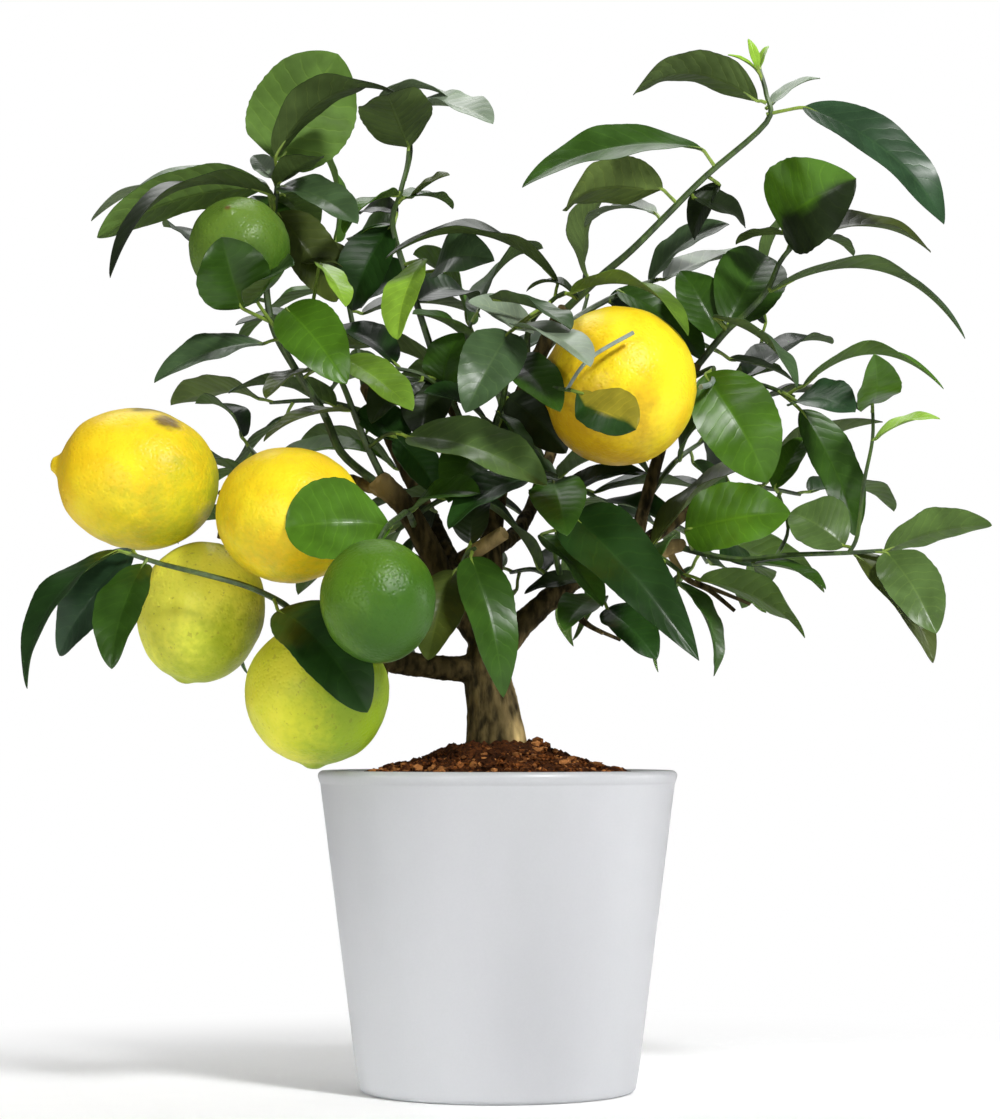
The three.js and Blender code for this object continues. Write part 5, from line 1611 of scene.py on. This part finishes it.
@dataclass
class Fruit:
    """One lemon: a lumpy oval with a nipple at its blossom end."""

    name: str
    plan: FruitPlan
    segments: int = 96
    rings: int = 72
    body_turns: tuple[float, ...] = (-90, -68, -44, -20, 4, 27, 48)     # degrees round the oval
    tip_turns: tuple[float, ...] = (65, 78, 86, 90)
    lump_height: float = 0.022     # shares of the radius
    fine_lump_height: float = 0.007
    shrink: float = 0.012

    def outline(self) -> list[Spot]:
        """Lists the smooth outline (radius, height) from the stem end to the tip.

        Returns:
            One point for each ring, evenly spaced along the outline.
        """
        radius, half = self.plan.radius, self.plan.half
        rough = [self._oval(turn) for turn in self.body_turns]
        sharp = (
            (radius * NIPPLE_RADIUS * 2.1, half * NIPPLE_START),
            (radius * NIPPLE_RADIUS, half * (NIPPLE_START + NIPPLE_REACH) / 2),
            (radius * NIPPLE_RADIUS * 0.55, half * (NIPPLE_REACH - 0.02)),
            (0, half * NIPPLE_REACH),
        )
        for turn, tip in zip(self.tip_turns, sharp):
            share = self.plan.nipple * (1 - self.plan.full if turn == self.tip_turns[0] else 1)
            rough.append(tuple(
                blunt + (fine - blunt) * share for blunt, fine in zip(self._oval(turn), tip)
            ))
        points = [Vector((wide, high, 0)) for wide, high in rough]
        line, _ = smooth_line(points, [0.0] * len(points), 12)
        steps = np.cumsum([0] + [(b - a).length for a, b in zip(line, line[1:])])
        even = np.linspace(0, steps[-1], self.rings + 1)
        wide = np.maximum(np.interp(even, steps, [point.x for point in line]), 0)
        return list(zip(wide, np.interp(even, steps, [point.y for point in line])))

    def _oval(self, turn: float) -> Spot:
        """Gives the point (radius, height) of the plain oval at a turn.

        Args:
            turn: The turn in degrees, from -90 at the stem end to 90 at the tip.

        Returns:
            The point, a little further out on the tip's side if the body is full there.
        """
        plan = self.plan
        half = plan.half if turn < 0 else plan.half * (1 + (NIPPLE_REACH - 1) * plan.full)
        return plan.radius * math.cos(math.radians(turn)), half * math.sin(math.radians(turn))

    def holds(self, point: Vector, skin: float) -> bool:
        """Tells whether a point lies inside the lemon's oval, grown by a skin.

        Args:
            point: The point in space, in millimetres.
            skin: How far the oval is grown.

        Returns:
            Whether the point lies inside.
        """
        way = Vector(self.plan.towards).normalized()
        offset = point - seen(*self.plan.centre)
        along = offset.dot(way)
        beside = (offset - way * along).length
        lengthwise = along / (self.plan.half + skin)
        sideways = beside / (self.plan.radius + skin)
        return lengthwise ** 2 + sideways ** 2 < 1

    def build(self, peel: bpy.types.Material) -> None:
        """Shapes the lemon from a ball and dresses it.

        Args:
            peel: The lemon's material.
        """
        bpy.ops.object.select_all(action="DESELECT")
        bpy.ops.mesh.primitive_uv_sphere_add(
            segments=self.segments, ring_count=self.rings, radius=1,
        )
        fruit = bpy.context.view_layer.objects.active
        fruit.name = fruit.data.name = f"{self.name}_fruit"
        self._shape(fruit)
        fruit.data.materials.append(peel)
        smooth_shading(fruit, 60)
        keep_inside(fruit)
        hand_over(fruit, self.name)

    def _shape(self, fruit: Piece) -> None:
        """Moves the ball's rings onto the outline, adds lumps and colours the skin.

        Args:
            fruit: The ball, of radius 1.
        """
        plan = self.plan
        ball = vertex_array(fruit.data)
        share = 1 - np.arccos(np.clip(ball[:, 2], -1, 1)) / math.pi
        outline = np.array(self.outline())
        rings = np.linspace(0, 1, len(outline))
        radius = np.interp(share, rings, outline[:, 0])
        height = np.interp(share, rings, outline[:, 1])
        turn = np.arctan2(ball[:, 1], ball[:, 0])
        seed = plan.centre[0] * 0.31
        lumps = fractal(ball, 1.7, seed, 2) * self.lump_height
        lumps = lumps + fractal(ball, 5.5, seed + 4, 2) * self.fine_lump_height
        neck = np.exp(-((share - 0.86) / 0.06) ** 2) * np.cos(5 * turn + seed) * 0.012
        body = np.clip(radius / plan.radius, 0, 1)
        radius = radius * (1 - self.shrink + lumps * body - np.abs(neck))
        local = np.column_stack((radius * np.cos(turn), radius * np.sin(turn), height))
        way = Vector(plan.towards).normalized()
        turned = local @ np.array(UP.rotation_difference(way).to_matrix()).T
        set_vertices(fruit.data, (turned + np.array(seen(*plan.centre))) * MM)
        # Green left on the peel towards the green side, on some lemons painted shade, and green at
        # both ends.
        facing = turned @ np.array(Vector(plan.green_and_shade_side).normalized()) / plan.radius
        ends = np.exp(-((1 - share) / 0.07) ** 2) * 0.5 + np.exp(-(share / 0.09) ** 2) * 0.4
        green = (facing + 0.25) * 0.8 * plan.green_and_shade_share * 2 + ends
        mark(fruit, "green", np.clip(green + fractal(ball, 3, seed + 9, 2) * 0.16, 0, 1))
        mark(fruit, "scar", self._scar(fruit, ball, share))

    def _scar(self, fruit: Piece, ball: np.ndarray, share: np.ndarray) -> np.ndarray:
        """Finds where the peel is scar-coloured: at the very tip, and at a brown patch if it has
        one.

        Args:
            fruit: The lemon in its final shape.
            ball: Vertex places of the ball that it was shaped from.
            share: How far along the lemon each vertex lies.

        Returns:
            A share from 0 to 1 for each vertex.
        """
        scar = np.clip((share - 0.978) / 0.012, 0, 1)
        if not self.plan.brown_patch:
            return scar
        # A dark brown patch round a point on the peel.
        *middle, reach = self.plan.brown_patch
        gap = np.linalg.norm(vertex_array(fruit.data) / MM - np.array(middle), axis=1)
        brown_patch = 2.2 * (1 - gap / reach) + 0.5 * fractal(ball, 9, 2.2, 2)
        return np.maximum(scar, 0.9 * np.clip(brown_patch, 0, 1))


def clear_of_fruits(line: Line, fruits: list[Fruit]) -> Line:
    """Ends a limb's line where it meets a lemon.

    Args:
        line: Points and radii.
        fruits: Every lemon.

    Returns:
        The points and radii before the first that lies inside a lemon.
    """
    points, radii = line
    for index, point in enumerate(points):
        if index > 1 and any(fruit.holds(point, GAP) for fruit in fruits):
            return points[:index], radii[:index]
    return points, radii


# ---- wood


@dataclass
class Wood:
    """The trunk, its old boughs and the bare twiglets, with knots and a cut stub."""

    voxel: float = 0.95
    relief: float = 0.75
    soil_line: float = 156         # the bark is smooth below this height
    soil_fade: float = 6
    knots: tuple[tuple[float, float, float, float], ...] = (
        (-85, -38, 206, 8), (-52, -13, 270, 10), (74, 9, 235, 12),
        (-6, -18, 243, 9), (3, -24, 248, 9), (60, 9, 238, 8),
    )
    finish: Bark = field(default_factory=Bark)

    def build(self, effects: Effects, fruits: list[Fruit]) -> None:
        """Grows the limbs into one body, gives it bark and adds the twiglets.

        Args:
            effects: The shared effects.
            fruits: Every lemon, which the twiglets and stalks end at.
        """
        bark = [self.finish.material(effects)]
        boughs = [smooth_line(*limb_line(limb), 6) for limb in (TRUNK, *BOUGHS)]
        wood = round_limbs("wood_bark", boughs, 3, bark, [0] * len(boughs))
        self._fuse(wood)
        self._roughen(wood)
        twigs = [
            clear_of_fruits(smooth_line(*limb_line(limb), 6), fruits)
            for limb in (*TWIGLETS, *FRUIT_STALKS)
        ]
        small = round_limbs("twiglets", twigs, 1, bark, [0] * len(twigs))
        self._mark_wear_and_light(small)
        wood = join_pieces([wood, small], "wood_bark")
        smooth_shading(wood, 60)
        hand_over(wood, "wood")

    def _fuse(self, wood: Piece) -> None:
        """Melts the limbs into one skin.

        Args:
            wood: The limbs.
        """
        select_only(wood)
        remesh = wood.modifiers.new("fuse", "REMESH")
        remesh.mode = "VOXEL"
        remesh.voxel_size = self.voxel * MM
        bpy.ops.object.modifier_apply(modifier=remesh.name)
        smooth = wood.modifiers.new("ease", "SMOOTH")
        smooth.factor = 0.5
        smooth.iterations = 4
        bpy.ops.object.modifier_apply(modifier=smooth.name)

    def _roughen(self, wood: Piece) -> None:
        """Furrows the bark along the limbs and swells the knots.

        Args:
            wood: The fused limbs.
        """
        places = vertex_array(wood.data)
        normals = np.empty(len(wood.data.vertices) * 3)
        wood.data.vertices.foreach_get("normal", normals)
        furrows = fractal(places * np.array((1, 1, 0.3)), 330, 5.5, 3)
        lumps = fractal(places, 70, 1.3, 2)
        above = np.clip((places[:, 2] / MM - self.soil_line) / self.soil_fade, 0, 1)
        girth = np.clip(1.3 - np.hypot(places[:, 0], places[:, 1]) / (110 * MM), 0.35, 1)
        push = (furrows * 0.55 + lumps * 0.6) * self.relief * above * girth
        for *middle, reach in self.knots:
            near = np.linalg.norm(places / MM - np.array(middle), axis=1)
            push += 0.9 * np.exp(-(near / reach) ** 2) * (1 + fractal(places, 200, middle[2], 2))
        set_vertices(wood.data, places + normals.reshape(-1, 3) * push[:, None] * MM)
        self._mark_wear_and_light(wood)

    def _mark_wear_and_light(self, wood: Piece) -> None:
        """Marks tan on the bark: worn at the knots, and a band of painted light on the trunk's
        right.

        Args:
            wood: The limbs or the twiglets.
        """
        places = vertex_array(wood.data) / MM
        worn = np.zeros(len(places))
        for *middle, reach in self.knots:
            near = np.linalg.norm(places - np.array(middle), axis=1)
            worn = np.maximum(worn, 0.9 * np.exp(-(near / (0.8 * reach)) ** 2))
        # A band of painted light down the lit right side of the trunk, under the boughs.
        painted_light_band = np.clip((places[:, 0] - 2) / 6, 0, 1) * np.clip((204 - places[:, 2]) / 14, 0, 1)
        painted_light_band *= np.clip((17 - np.abs(places[:, 0])) / 4, 0, 1)
        patches = fractal(places * MM * np.array((1, 1, 0.4)), 160, 6.6, 3)
        mark(wood, "worn", np.maximum(worn, painted_light_band * (0.5 + 0.6 * patches)))


# ---- leaves


def blade_profile(share: np.ndarray, full: float = 0.0) -> np.ndarray:
    """Gives a blade's half width at shares of its length.

    Args:
        share: The shares, from the base to the tip.
        full: How far the blade is fuller towards its tip.

    Returns:
        The half widths, as shares of the widest.
    """
    rise, fall = 0.56 + 0.5 * full, 0.7 - 0.5 * full
    top = (rise / (rise + fall)) ** rise * (fall / (rise + fall)) ** fall
    share = np.clip(share, 0, 1)
    return share ** rise * (1 - share) ** fall / top


@dataclass(frozen=True)
class Leaf:
    """A leaf in its place: rooted on a stem, its blade running from a base to a tip."""

    root: Vector
    base: Vector
    tip: Vector
    width: float
    roll: float
    arch: float
    tone: Tone
    touch: Touch = Touch()

    def axes(self) -> tuple[Vector, Vector, Vector, float]:
        """Works out how the blade lies.

        Returns:
            Its directions along, across and out of its upper face, and its length.
        """
        along = self.tip - self.base
        length = along.length
        along.normalize()
        front = (FRONT - along * FRONT.dot(along)).normalized()
        upward = along.cross(front)
        if upward.z < 0:
            upward.negate()
        roll = math.radians(self.roll)
        face = front * math.cos(roll) + upward * math.sin(roll)
        return along, face.cross(along), face, length

    def outline(self) -> list[Vector]:
        """Lists points on the blade's two edges, for comparing it with a solid.

        Returns:
            The points, in millimetres.
        """
        along, across, face, length = self.axes()
        points = []
        for t in (0.42, 0.74, 1.0):
            rib = self.base + along * (length * t) + face * (self.arch * 4 * t * (1 - t))
            half = max(self.width / 2 * float(blade_profile(np.array(t))), PETIOLE_RADIUS)
            wave = self.width * LEAF_WAVE * math.sin(3 * math.pi * t)
            for side in (-1, 1):
                edge = rib + across * (side * half * math.cos(LEAF_FOLD))
                points.append(edge + face * (half * math.sin(LEAF_FOLD) + side * wave))
        return points


@dataclass(frozen=True)
class Wobble:
    """The small differences that one leaf has from the others."""

    teeth: float                   # where its row of teeth starts
    beat: float                    # ripples along its edge, and where they start
    phase: float
    curl: float                    # how far its tip hangs, as a share of its length
    twist: float                   # degrees that the middle of the blade turns
    sway: float                    # how far its rib bends sideways
    shade: float                   # brightness of its tone

    @classmethod
    def drawn(cls, draw: random.Random) -> "Wobble":
        """Draws a leaf's differences, always in the same order."""
        spans = ((2.2, 3.4), (0, 6.28), (0.0, 0.035), (-9, 9), (-1, 1), (0.9, 1.12))
        return cls(draw.random() * 6, *[draw.uniform(*span) for span in spans])


@dataclass
class LeafBlank:
    """The flat leaf that every leaf is copied from: a thin slab with an upper and a lower face."""

    name: str
    stations: int
    columns: int
    thickness: float = 0.48
    tooth_spacing: float = 4.6
    ripple: float = 0.020          # shares of the width
    quilt: float = 0.0022

    def model(self, skins: list[bpy.types.Material]) -> None:
        """Models the slab once and keeps where its vertices lie on the blade.

        Args:
            skins: Every material of a shoot.
        """
        bpy.ops.object.select_all(action="DESELECT")
        bpy.ops.mesh.primitive_grid_add(
            x_subdivisions=self.stations, y_subdivisions=self.columns, size=2,
        )
        blank = bpy.context.view_layer.objects.active
        slab = blank.modifiers.new("slab", "SOLIDIFY")
        slab.thickness = 0.2
        slab.offset = 0
        bpy.ops.object.modifier_apply(modifier=slab.name)
        self.mesh = blank.data
        self.mesh.name = self.name
        bpy.data.objects.remove(blank)
        places = vertex_array(self.mesh)
        share = np.clip((places[:, 0] + 1) / 2, 0, 1)
        self.along = 0.6 * share + 0.4 * (1 - np.cos(math.pi * share)) / 2
        self.across = np.sign(places[:, 1]) * np.abs(places[:, 1]) ** 1.2
        self.side = np.sign(places[:, 2])
        for skin in skins:
            self.mesh.materials.append(skin)
        self._map_faces()

    def _map_faces(self) -> None:
        """Gives the blank its blade UV map, its faces their materials and room for a tone."""
        layer = self.mesh.uv_layers.new(name="blade")
        corners = np.empty(len(self.mesh.loops), dtype=np.int32)
        self.mesh.loops.foreach_get("vertex_index", corners)
        spots = np.column_stack((self.along[corners], (self.across[corners] + 1) / 2))
        layer.data.foreach_set("uv", spots.ravel())
        for face in self.mesh.polygons:
            face.material_index = Skin.UNDER if face.normal.z < -0.5 else Skin.UPPER
        self.mesh.attributes.new("tone", "FLOAT_COLOR", "POINT")

    def copy(self, leaf: Leaf, draw: random.Random, name: str) -> Piece:
        """Copies the blank onto a leaf's place, with its own waves and colour.

        Args:
            leaf: The leaf's place and size.
            draw: Source of its small differences.
            name: Name of the copy.

        Returns:
            The blade as an object.
        """
        mesh = self.mesh.copy()
        piece = new_piece(name, mesh)
        wobble = Wobble.drawn(draw)
        set_vertices(mesh, self._place(leaf, wobble) * MM)
        shade = np.array(leaf.tone.value) * wobble.shade
        tip = 1 + 0.10 * (self.along - 0.4)
        colours = np.ones((len(self.along), 4))
        colours[:, :3] = shade[None, :] * tip[:, None]
        # One half of the blade takes the touch's darker tone: painted shade.
        if leaf.touch.half:
            share = np.clip(0.5 - 5 * self.across + 0.5 * np.sin(9 * self.along), 0, 1)[:, None]
            colours[:, :3] += share * (np.array(leaf.touch.half.value)[None, :] - colours[:, :3])
        mesh.attributes["tone"].data.foreach_set("color", colours.ravel())
        return piece

    def _place(self, leaf: Leaf, wobble: Wobble) -> np.ndarray:
        """Works out where each vertex of the blank lies on a leaf.

        Args:
            leaf: The leaf's place and size.
            wobble: Its small differences.

        Returns:
            The vertex places, in millimetres.
        """
        along, across, face, length = leaf.axes()
        t, v = self.along, self.across
        profile = blade_profile(t, leaf.touch.full)
        width = leaf.width * leaf.touch.wide
        beat = 2 * math.pi * t * (length / self.tooth_spacing) + wobble.teeth
        teeth = 1 + 0.010 * np.sin(beat) * np.abs(v) ** 6 * profile
        floor = 0.85 * (1 - t) + 0.1
        half = np.sqrt((width / 2 * profile * teeth) ** 2 + floor ** 2)
        bend = np.sqrt(v ** 2 + 0.01) - 0.1
        fold = half * bend * math.sin(LEAF_FOLD)
        waves = width * LEAF_WAVE * np.sin(3 * math.pi * t) * v
        beat = 2 * math.pi * wobble.beat * t + wobble.phase + 1.9 * np.sign(v)
        ripple = width * self.ripple * np.sin(beat) * np.abs(v) ** 2.4
        veins = (t + 0.025 - VEIN_LEAN * np.abs(v) ** VEIN_BEND) * SIDE_VEINS
        rows = np.cos(2 * math.pi * (veins - 0.5)) * (1 - v ** 2) * np.sqrt(profile)
        lift = fold + (waves + ripple) * np.sqrt(profile) - self.quilt * width * rows * bend * 1.6
        curl = -wobble.curl * length * np.clip((t - 0.62) / 0.38, 0, 1) ** 2
        rib = leaf.arch * 4 * t * (1 - t) + curl
        near_rib = np.exp(-(v * half / 0.75) ** 2)
        skin = self.side * self.thickness / 2 * (1 - 0.45 * np.abs(v) ** 4)
        under, over = 0.55 * near_rib * (1 - 0.85 * t), 0.16 * near_rib * profile
        skin = skin - np.where(self.side < 0, under, over)
        twist = math.radians(wobble.twist) * np.sin(math.pi * t)
        out = v * half * math.cos(LEAF_FOLD)
        sway = length * 0.012 * wobble.sway * np.sin(math.pi * t)
        sideways = out * np.cos(twist) - lift * np.sin(twist) + sway
        upwards = out * np.sin(twist) + lift * np.cos(twist) + rib + skin
        return (
            np.array(leaf.base)[None, :] + np.outer(length * t, np.array(along))
            + np.outer(np.clip(t * 6, 0, 1), (leaf.touch.right, 0, leaf.touch.up))
            + np.outer(sideways, np.array(across)) + np.outer(upwards, np.array(face))
        )


class BackDraw:
    """A repeatable draw between 0 and 1."""

    FACTOR = 16807
    LIMIT = 2147483647

    def __init__(self, seed: int) -> None:
        """Starts the draw from a seed."""
        self.state = seed

    def next(self) -> float:
        """Returns the next number."""
        self.state = self.state * self.FACTOR % self.LIMIT
        return self.state / self.LIMIT


@dataclass
class Shoot:
    """A young stem with its own leaves, grown as one piece."""

    name: str
    stems: list[Line]
    stalks: list[Line]
    choices: list[tuple[list[tuple[Vector, Vector]], float, float, float, Tone, Touch]]
    inner: list[Leaf] = field(default_factory=list)
    back: bool = False
    slimness: float = 0.82         # a stem's thickness, as a share of its solid's

    def settle(self) -> list[Leaf]:
        """Finds how each leaf of the shoot lies, from the solid of the same name.

        Returns:
            The leaves that the solid has.
        """
        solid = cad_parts[self.name].data
        tree = KDTree(len(solid.vertices))
        for index, vertex in enumerate(solid.vertices):
            tree.insert(vertex.co / MM, index)
        tree.balance()
        sites = [site for points, _ in self.stems for site in leaf_sites(points)]
        leaves = []
        for places, *shape in self.choices:
            root = min(sites, key=lambda site: (site - places[0][0]).length)
            tries = [
                Leaf(root, pushed(base, near), pushed(tip, far), *shape)
                for base, tip in places for near, far in BENDS
            ]
            misses = [
                sum(min(tree.find(point)[2], MISS_CAP) for point in leaf.outline())
                for leaf in tries
            ]
            best = misses.index(min(misses))
            if misses[best] > MISS_LIMIT * len(tries[best].outline()):
                LOG.info("%s: a leaf is left off", self.name)
                continue
            sites.remove(root)
            leaves.append(tries[best])
        return leaves

    def build(
        self, blank: LeafBlank, skins: list[bpy.types.Material], fruits: list[Fruit], seed: int,
    ) -> None:
        """Grows the shoot and dresses it.

        Args:
            blank: The leaf that is copied.
            skins: Materials of a shoot, in the order of Skin.
            fruits: Every lemon, which the stems end at.
            seed: Seed of the small differences between leaves.
        """
        draw = random.Random(seed)
        leaves = self.settle() + self.inner
        blades = [blank.copy(leaf, draw, f"{self.name}_blade") for leaf in leaves]
        lines = [
            clear_of_fruits(smooth_line(*stem, 5), fruits) for stem in self.stems + self.stalks
        ]
        lines = [(points, [radius * self.slimness for radius in radii]) for points, radii in lines]
        slots = [Skin.STEM] * len(self.stems) + [Skin.BARE] * len(self.stalks)
        lines += [self._petiole(leaf) for leaf in leaves]
        slots += [Skin.PETIOLE] * len(leaves)
        stems = round_limbs(f"{self.name}_stems", lines, 1, skins, slots)
        shoot = join_pieces(blades + [stems], f"{self.name}_leaves")
        keep_inside(shoot)
        smooth_shading(shoot, 50)
        hand_over(shoot, self.name)

    @staticmethod
    def _petiole(leaf: Leaf) -> Line:
        """Gives the line of a leaf's stalk.

        Args:
            leaf: The leaf.

        Returns:
            Points and radii, from its root to a little way along the rib.
        """
        along, _, face, length = leaf.axes()
        start = leaf.base + along * 0.4
        end = leaf.base + along * (0.10 * length) + face * (leaf.arch * 0.36 - 0.42)
        middle = leaf.root.lerp(leaf.base, 0.55) + face * 0.3
        radii = [share * PETIOLE_RADIUS for share in (1, 0.85, 0.9, 0.45)]
        return smooth_line([leaf.root, middle, start, end], radii, 3)


def inner_leaf(row: tuple, stems: list[Line]) -> Leaf:
    """Places a leaf that has no solid, rooted at the nearest point of a stem.

    Args:
        row: The leaf's numbers and tone.
        stems: The shoot's stems, as points and radii.

    Returns:
        The leaf.
    """
    base, *rest = split_row(row)
    points = (point for line, _ in stems for point in line)
    root = min(points, key=lambda point: (point - base).length)
    return Leaf(root, base, *rest)


def front_shoots() -> list[Shoot]:
    """Lists the shoots that were read from the front.

    Returns:
        The shoots, with a single place for each leaf.
    """
    shoots = []
    for name, plan in SHOOTS.items():
        rows = [split_row(row) for row in plan.leaves]
        choices = [([(base, tip)], *shape) for base, tip, *shape in rows]
        stems = [limb_line(stem) for stem in plan.stems]
        inner = [inner_leaf(row, stems) for row in plan.inner]
        stalks = [limb_line(stalk) for stalk in plan.stalks]
        shoots.append(Shoot(name, stems, stalks, choices, inner))
    return shoots


def back_shoots(sizes: BackLeaf) -> list[Shoot]:
    """Grows the shoots at the back and inside by rule.

    Args:
        sizes: Sizes that their leaves share.

    Returns:
        The shoots, with several places to try for each leaf.
    """
    draw, tones = BackDraw(BACK_SEED), random.Random(BACK_SEED)
    shoots = []
    for name, ends in BACK_STEMS.items():
        root, tip = Vector(ends[0]), Vector(ends[1])
        along = (tip - root).normalized()
        across = UP.cross(along).normalized()
        axes = (along, across, along.cross(across))
        choices = []
        for index in range(BACK_LEAVES):
            point = root.lerp(tip, 0.28 + 0.72 * index / (BACK_LEAVES - 1))
            turn = GOLDEN_ANGLE * index + draw.next()
            lean = sizes.last_lean if index == BACK_LEAVES - 1 else sizes.lean
            length = sizes.length + sizes.spread * (draw.next() - 0.5)
            places = [
                leaf_around(point, axes, turn + extra, lean, length, sizes) for extra in BACK_TURNS
            ]
            roll = sizes.roll + sizes.roll_spread * draw.next()
            tone = tones.choice(BACK_TONES)
            choices.append((places, length * sizes.width, roll, sizes.arch, tone, Touch()))
        line = [root, root.lerp(tip, 0.5) + UP * 4, tip]
        shoots.append(Shoot(name, [(line, [2, 1.6, 1.1])], [], choices, back=True))
    return shoots


def leaf_around(
    point: Vector, axes: tuple[Vector, Vector, Vector], turn: float, lean: float, length: float,
    sizes: BackLeaf,
) -> tuple[Vector, Vector]:
    """Places a leaf that stands out from a stem.

    Args:
        point: Where it leaves the stem.
        axes: The stem's own directions along, across and up.
        turn: Turn round the stem in radians.
        lean: How far it leans out from the stem, from 0 to 1.
        length: The blade's length.
        sizes: Sizes that back leaves share.

    Returns:
        The blade's base and tip.
    """
    along, across, up = axes
    way = along * (1 - lean) + across * (lean * math.cos(turn)) + up * (lean * math.sin(turn))
    way.normalize()
    base = point + way * sizes.petiole
    way.z -= sizes.droop
    return base, base + way.normalized() * length


# ---- studio and camera


@dataclass(frozen=True)
class Lamp:
    """A square soft light turned to a target, in metres, with its beam's spread in degrees."""

    name: str
    place: Place
    target: Place
    size: float
    power: float
    spread: float = 180

    def hang(self) -> None:
        """Hangs the light in the scene."""
        data = bpy.data.lights.new(self.name, "AREA")
        data.size = self.size
        data.energy = self.power
        data.spread = math.radians(self.spread)
        light = new_piece(self.name, data)
        light.location = self.place
        aim = Vector(self.target) - Vector(self.place)
        light.rotation_euler = aim.to_track_quat("-Z", "Y").to_euler()


@dataclass
class Studio:
    """A pale floor that fades into white, five soft lights and the camera."""

    floor_size: float = 8.0
    floor: PaleFloor = field(default_factory=PaleFloor)
    ambient: float = 0.13
    lamps: tuple[Lamp, ...] = (
        Lamp("key_light", (0.85, -1.3, 1.4), (0, 0, 0.24), 0.28, 37.0),
        Lamp("front_light", (-0.8, -1.5, 0.4), (0, 0, 0.15), 0.4, 7.0),
        Lamp("top_light", (-0.1, 0.7, 1.5), (0, 0, 0.24), 1.0, 11.0),
        Lamp("pot_light", (-1.45, -0.6, 0.12), (0, 0, -0.03), 0.3, 0.17, 12),
        Lamp("side_light", (1.5, 0.25, 0.2), (0, 0, 0.0), 0.4, 0.28, 12),
    )

    def build(self, effects: Effects) -> None:
        """Sets up the floor, the world, the lights and the camera.

        Args:
            effects: The shared effects.
        """
        bpy.context.scene.view_settings.view_transform = "Standard"
        self._lay_floor(effects)
        self._light_world()
        for lamp in self.lamps:
            lamp.hang()
        self._place_camera()

    def _lay_floor(self, effects: Effects) -> None:
        """Lays the floor under the pot.

        Args:
            effects: The shared effects.
        """
        bpy.ops.object.select_all(action="DESELECT")
        bpy.ops.mesh.primitive_plane_add(size=self.floor_size, location=(0, 0, 0))
        floor = bpy.context.view_layer.objects.active
        floor.name = "studio_floor"
        floor.data.materials.append(self.floor.material(effects))

    def _light_world(self) -> None:
        """Makes the background white to the camera and a dimmer white to everything else."""
        world = bpy.context.scene.world or bpy.data.worlds.new("studio")
        bpy.context.scene.world = world
        world.use_nodes = True
        graph = Graph(world.node_tree)
        graph.nodes.clear()
        seen_directly = graph.add("ShaderNodeLightPath").outputs["Is Camera Ray"]
        strength = graph.maths("MULTIPLY_ADD", seen_directly, 1.0 - self.ambient, self.ambient)
        sky = graph.add("ShaderNodeBackground", {"Color": WHITE, "Strength": strength})
        graph.add("ShaderNodeOutputWorld", {"Surface": sky.outputs[0]})

    @staticmethod
    def _place_camera() -> None:
        """Sets the camera where the tree was looked at from."""
        data = bpy.data.cameras.new("camera")
        data.lens = FOCAL_LENGTH
        data.sensor_width = SENSOR_WIDTH
        data.clip_end = 50
        camera = new_piece("camera", data)
        camera.location = EYE * MM
        camera.rotation_euler = (AIM - EYE).to_track_quat("-Z", "Y").to_euler()
        bpy.context.scene.camera = camera


# ---- the tree


def main() -> None:
    """Builds the tree piece by piece, then the studio round it."""
    logging.basicConfig(level=logging.INFO, format="%(message)s")
    effects = Effects()
    Pot().build(effects)
    Soil().build(effects)
    fruits = [Fruit(name, plan) for name, plan in FRUITS.items()]
    Wood().build(effects, fruits)
    peels = {kind: peel.material(effects) for kind, peel in PEELS.items()}
    for fruit in fruits:
        fruit.build(peels[fruit.plan.skin])
    skins = [finish.material(effects) for finish in LEAF_SKINS.values()]
    fine, coarse = LeafBlank("leaf_blank", 44, 12), LeafBlank("back_leaf_blank", 24, 10)
    for blank in (fine, coarse):
        blank.model(skins)
    for seed, shoot in enumerate(front_shoots() + back_shoots(BackLeaf())):
        shoot.build(coarse if shoot.back else fine, skins, fruits, seed)
    Studio().build(effects)


if __name__ == "__main__":
    main()
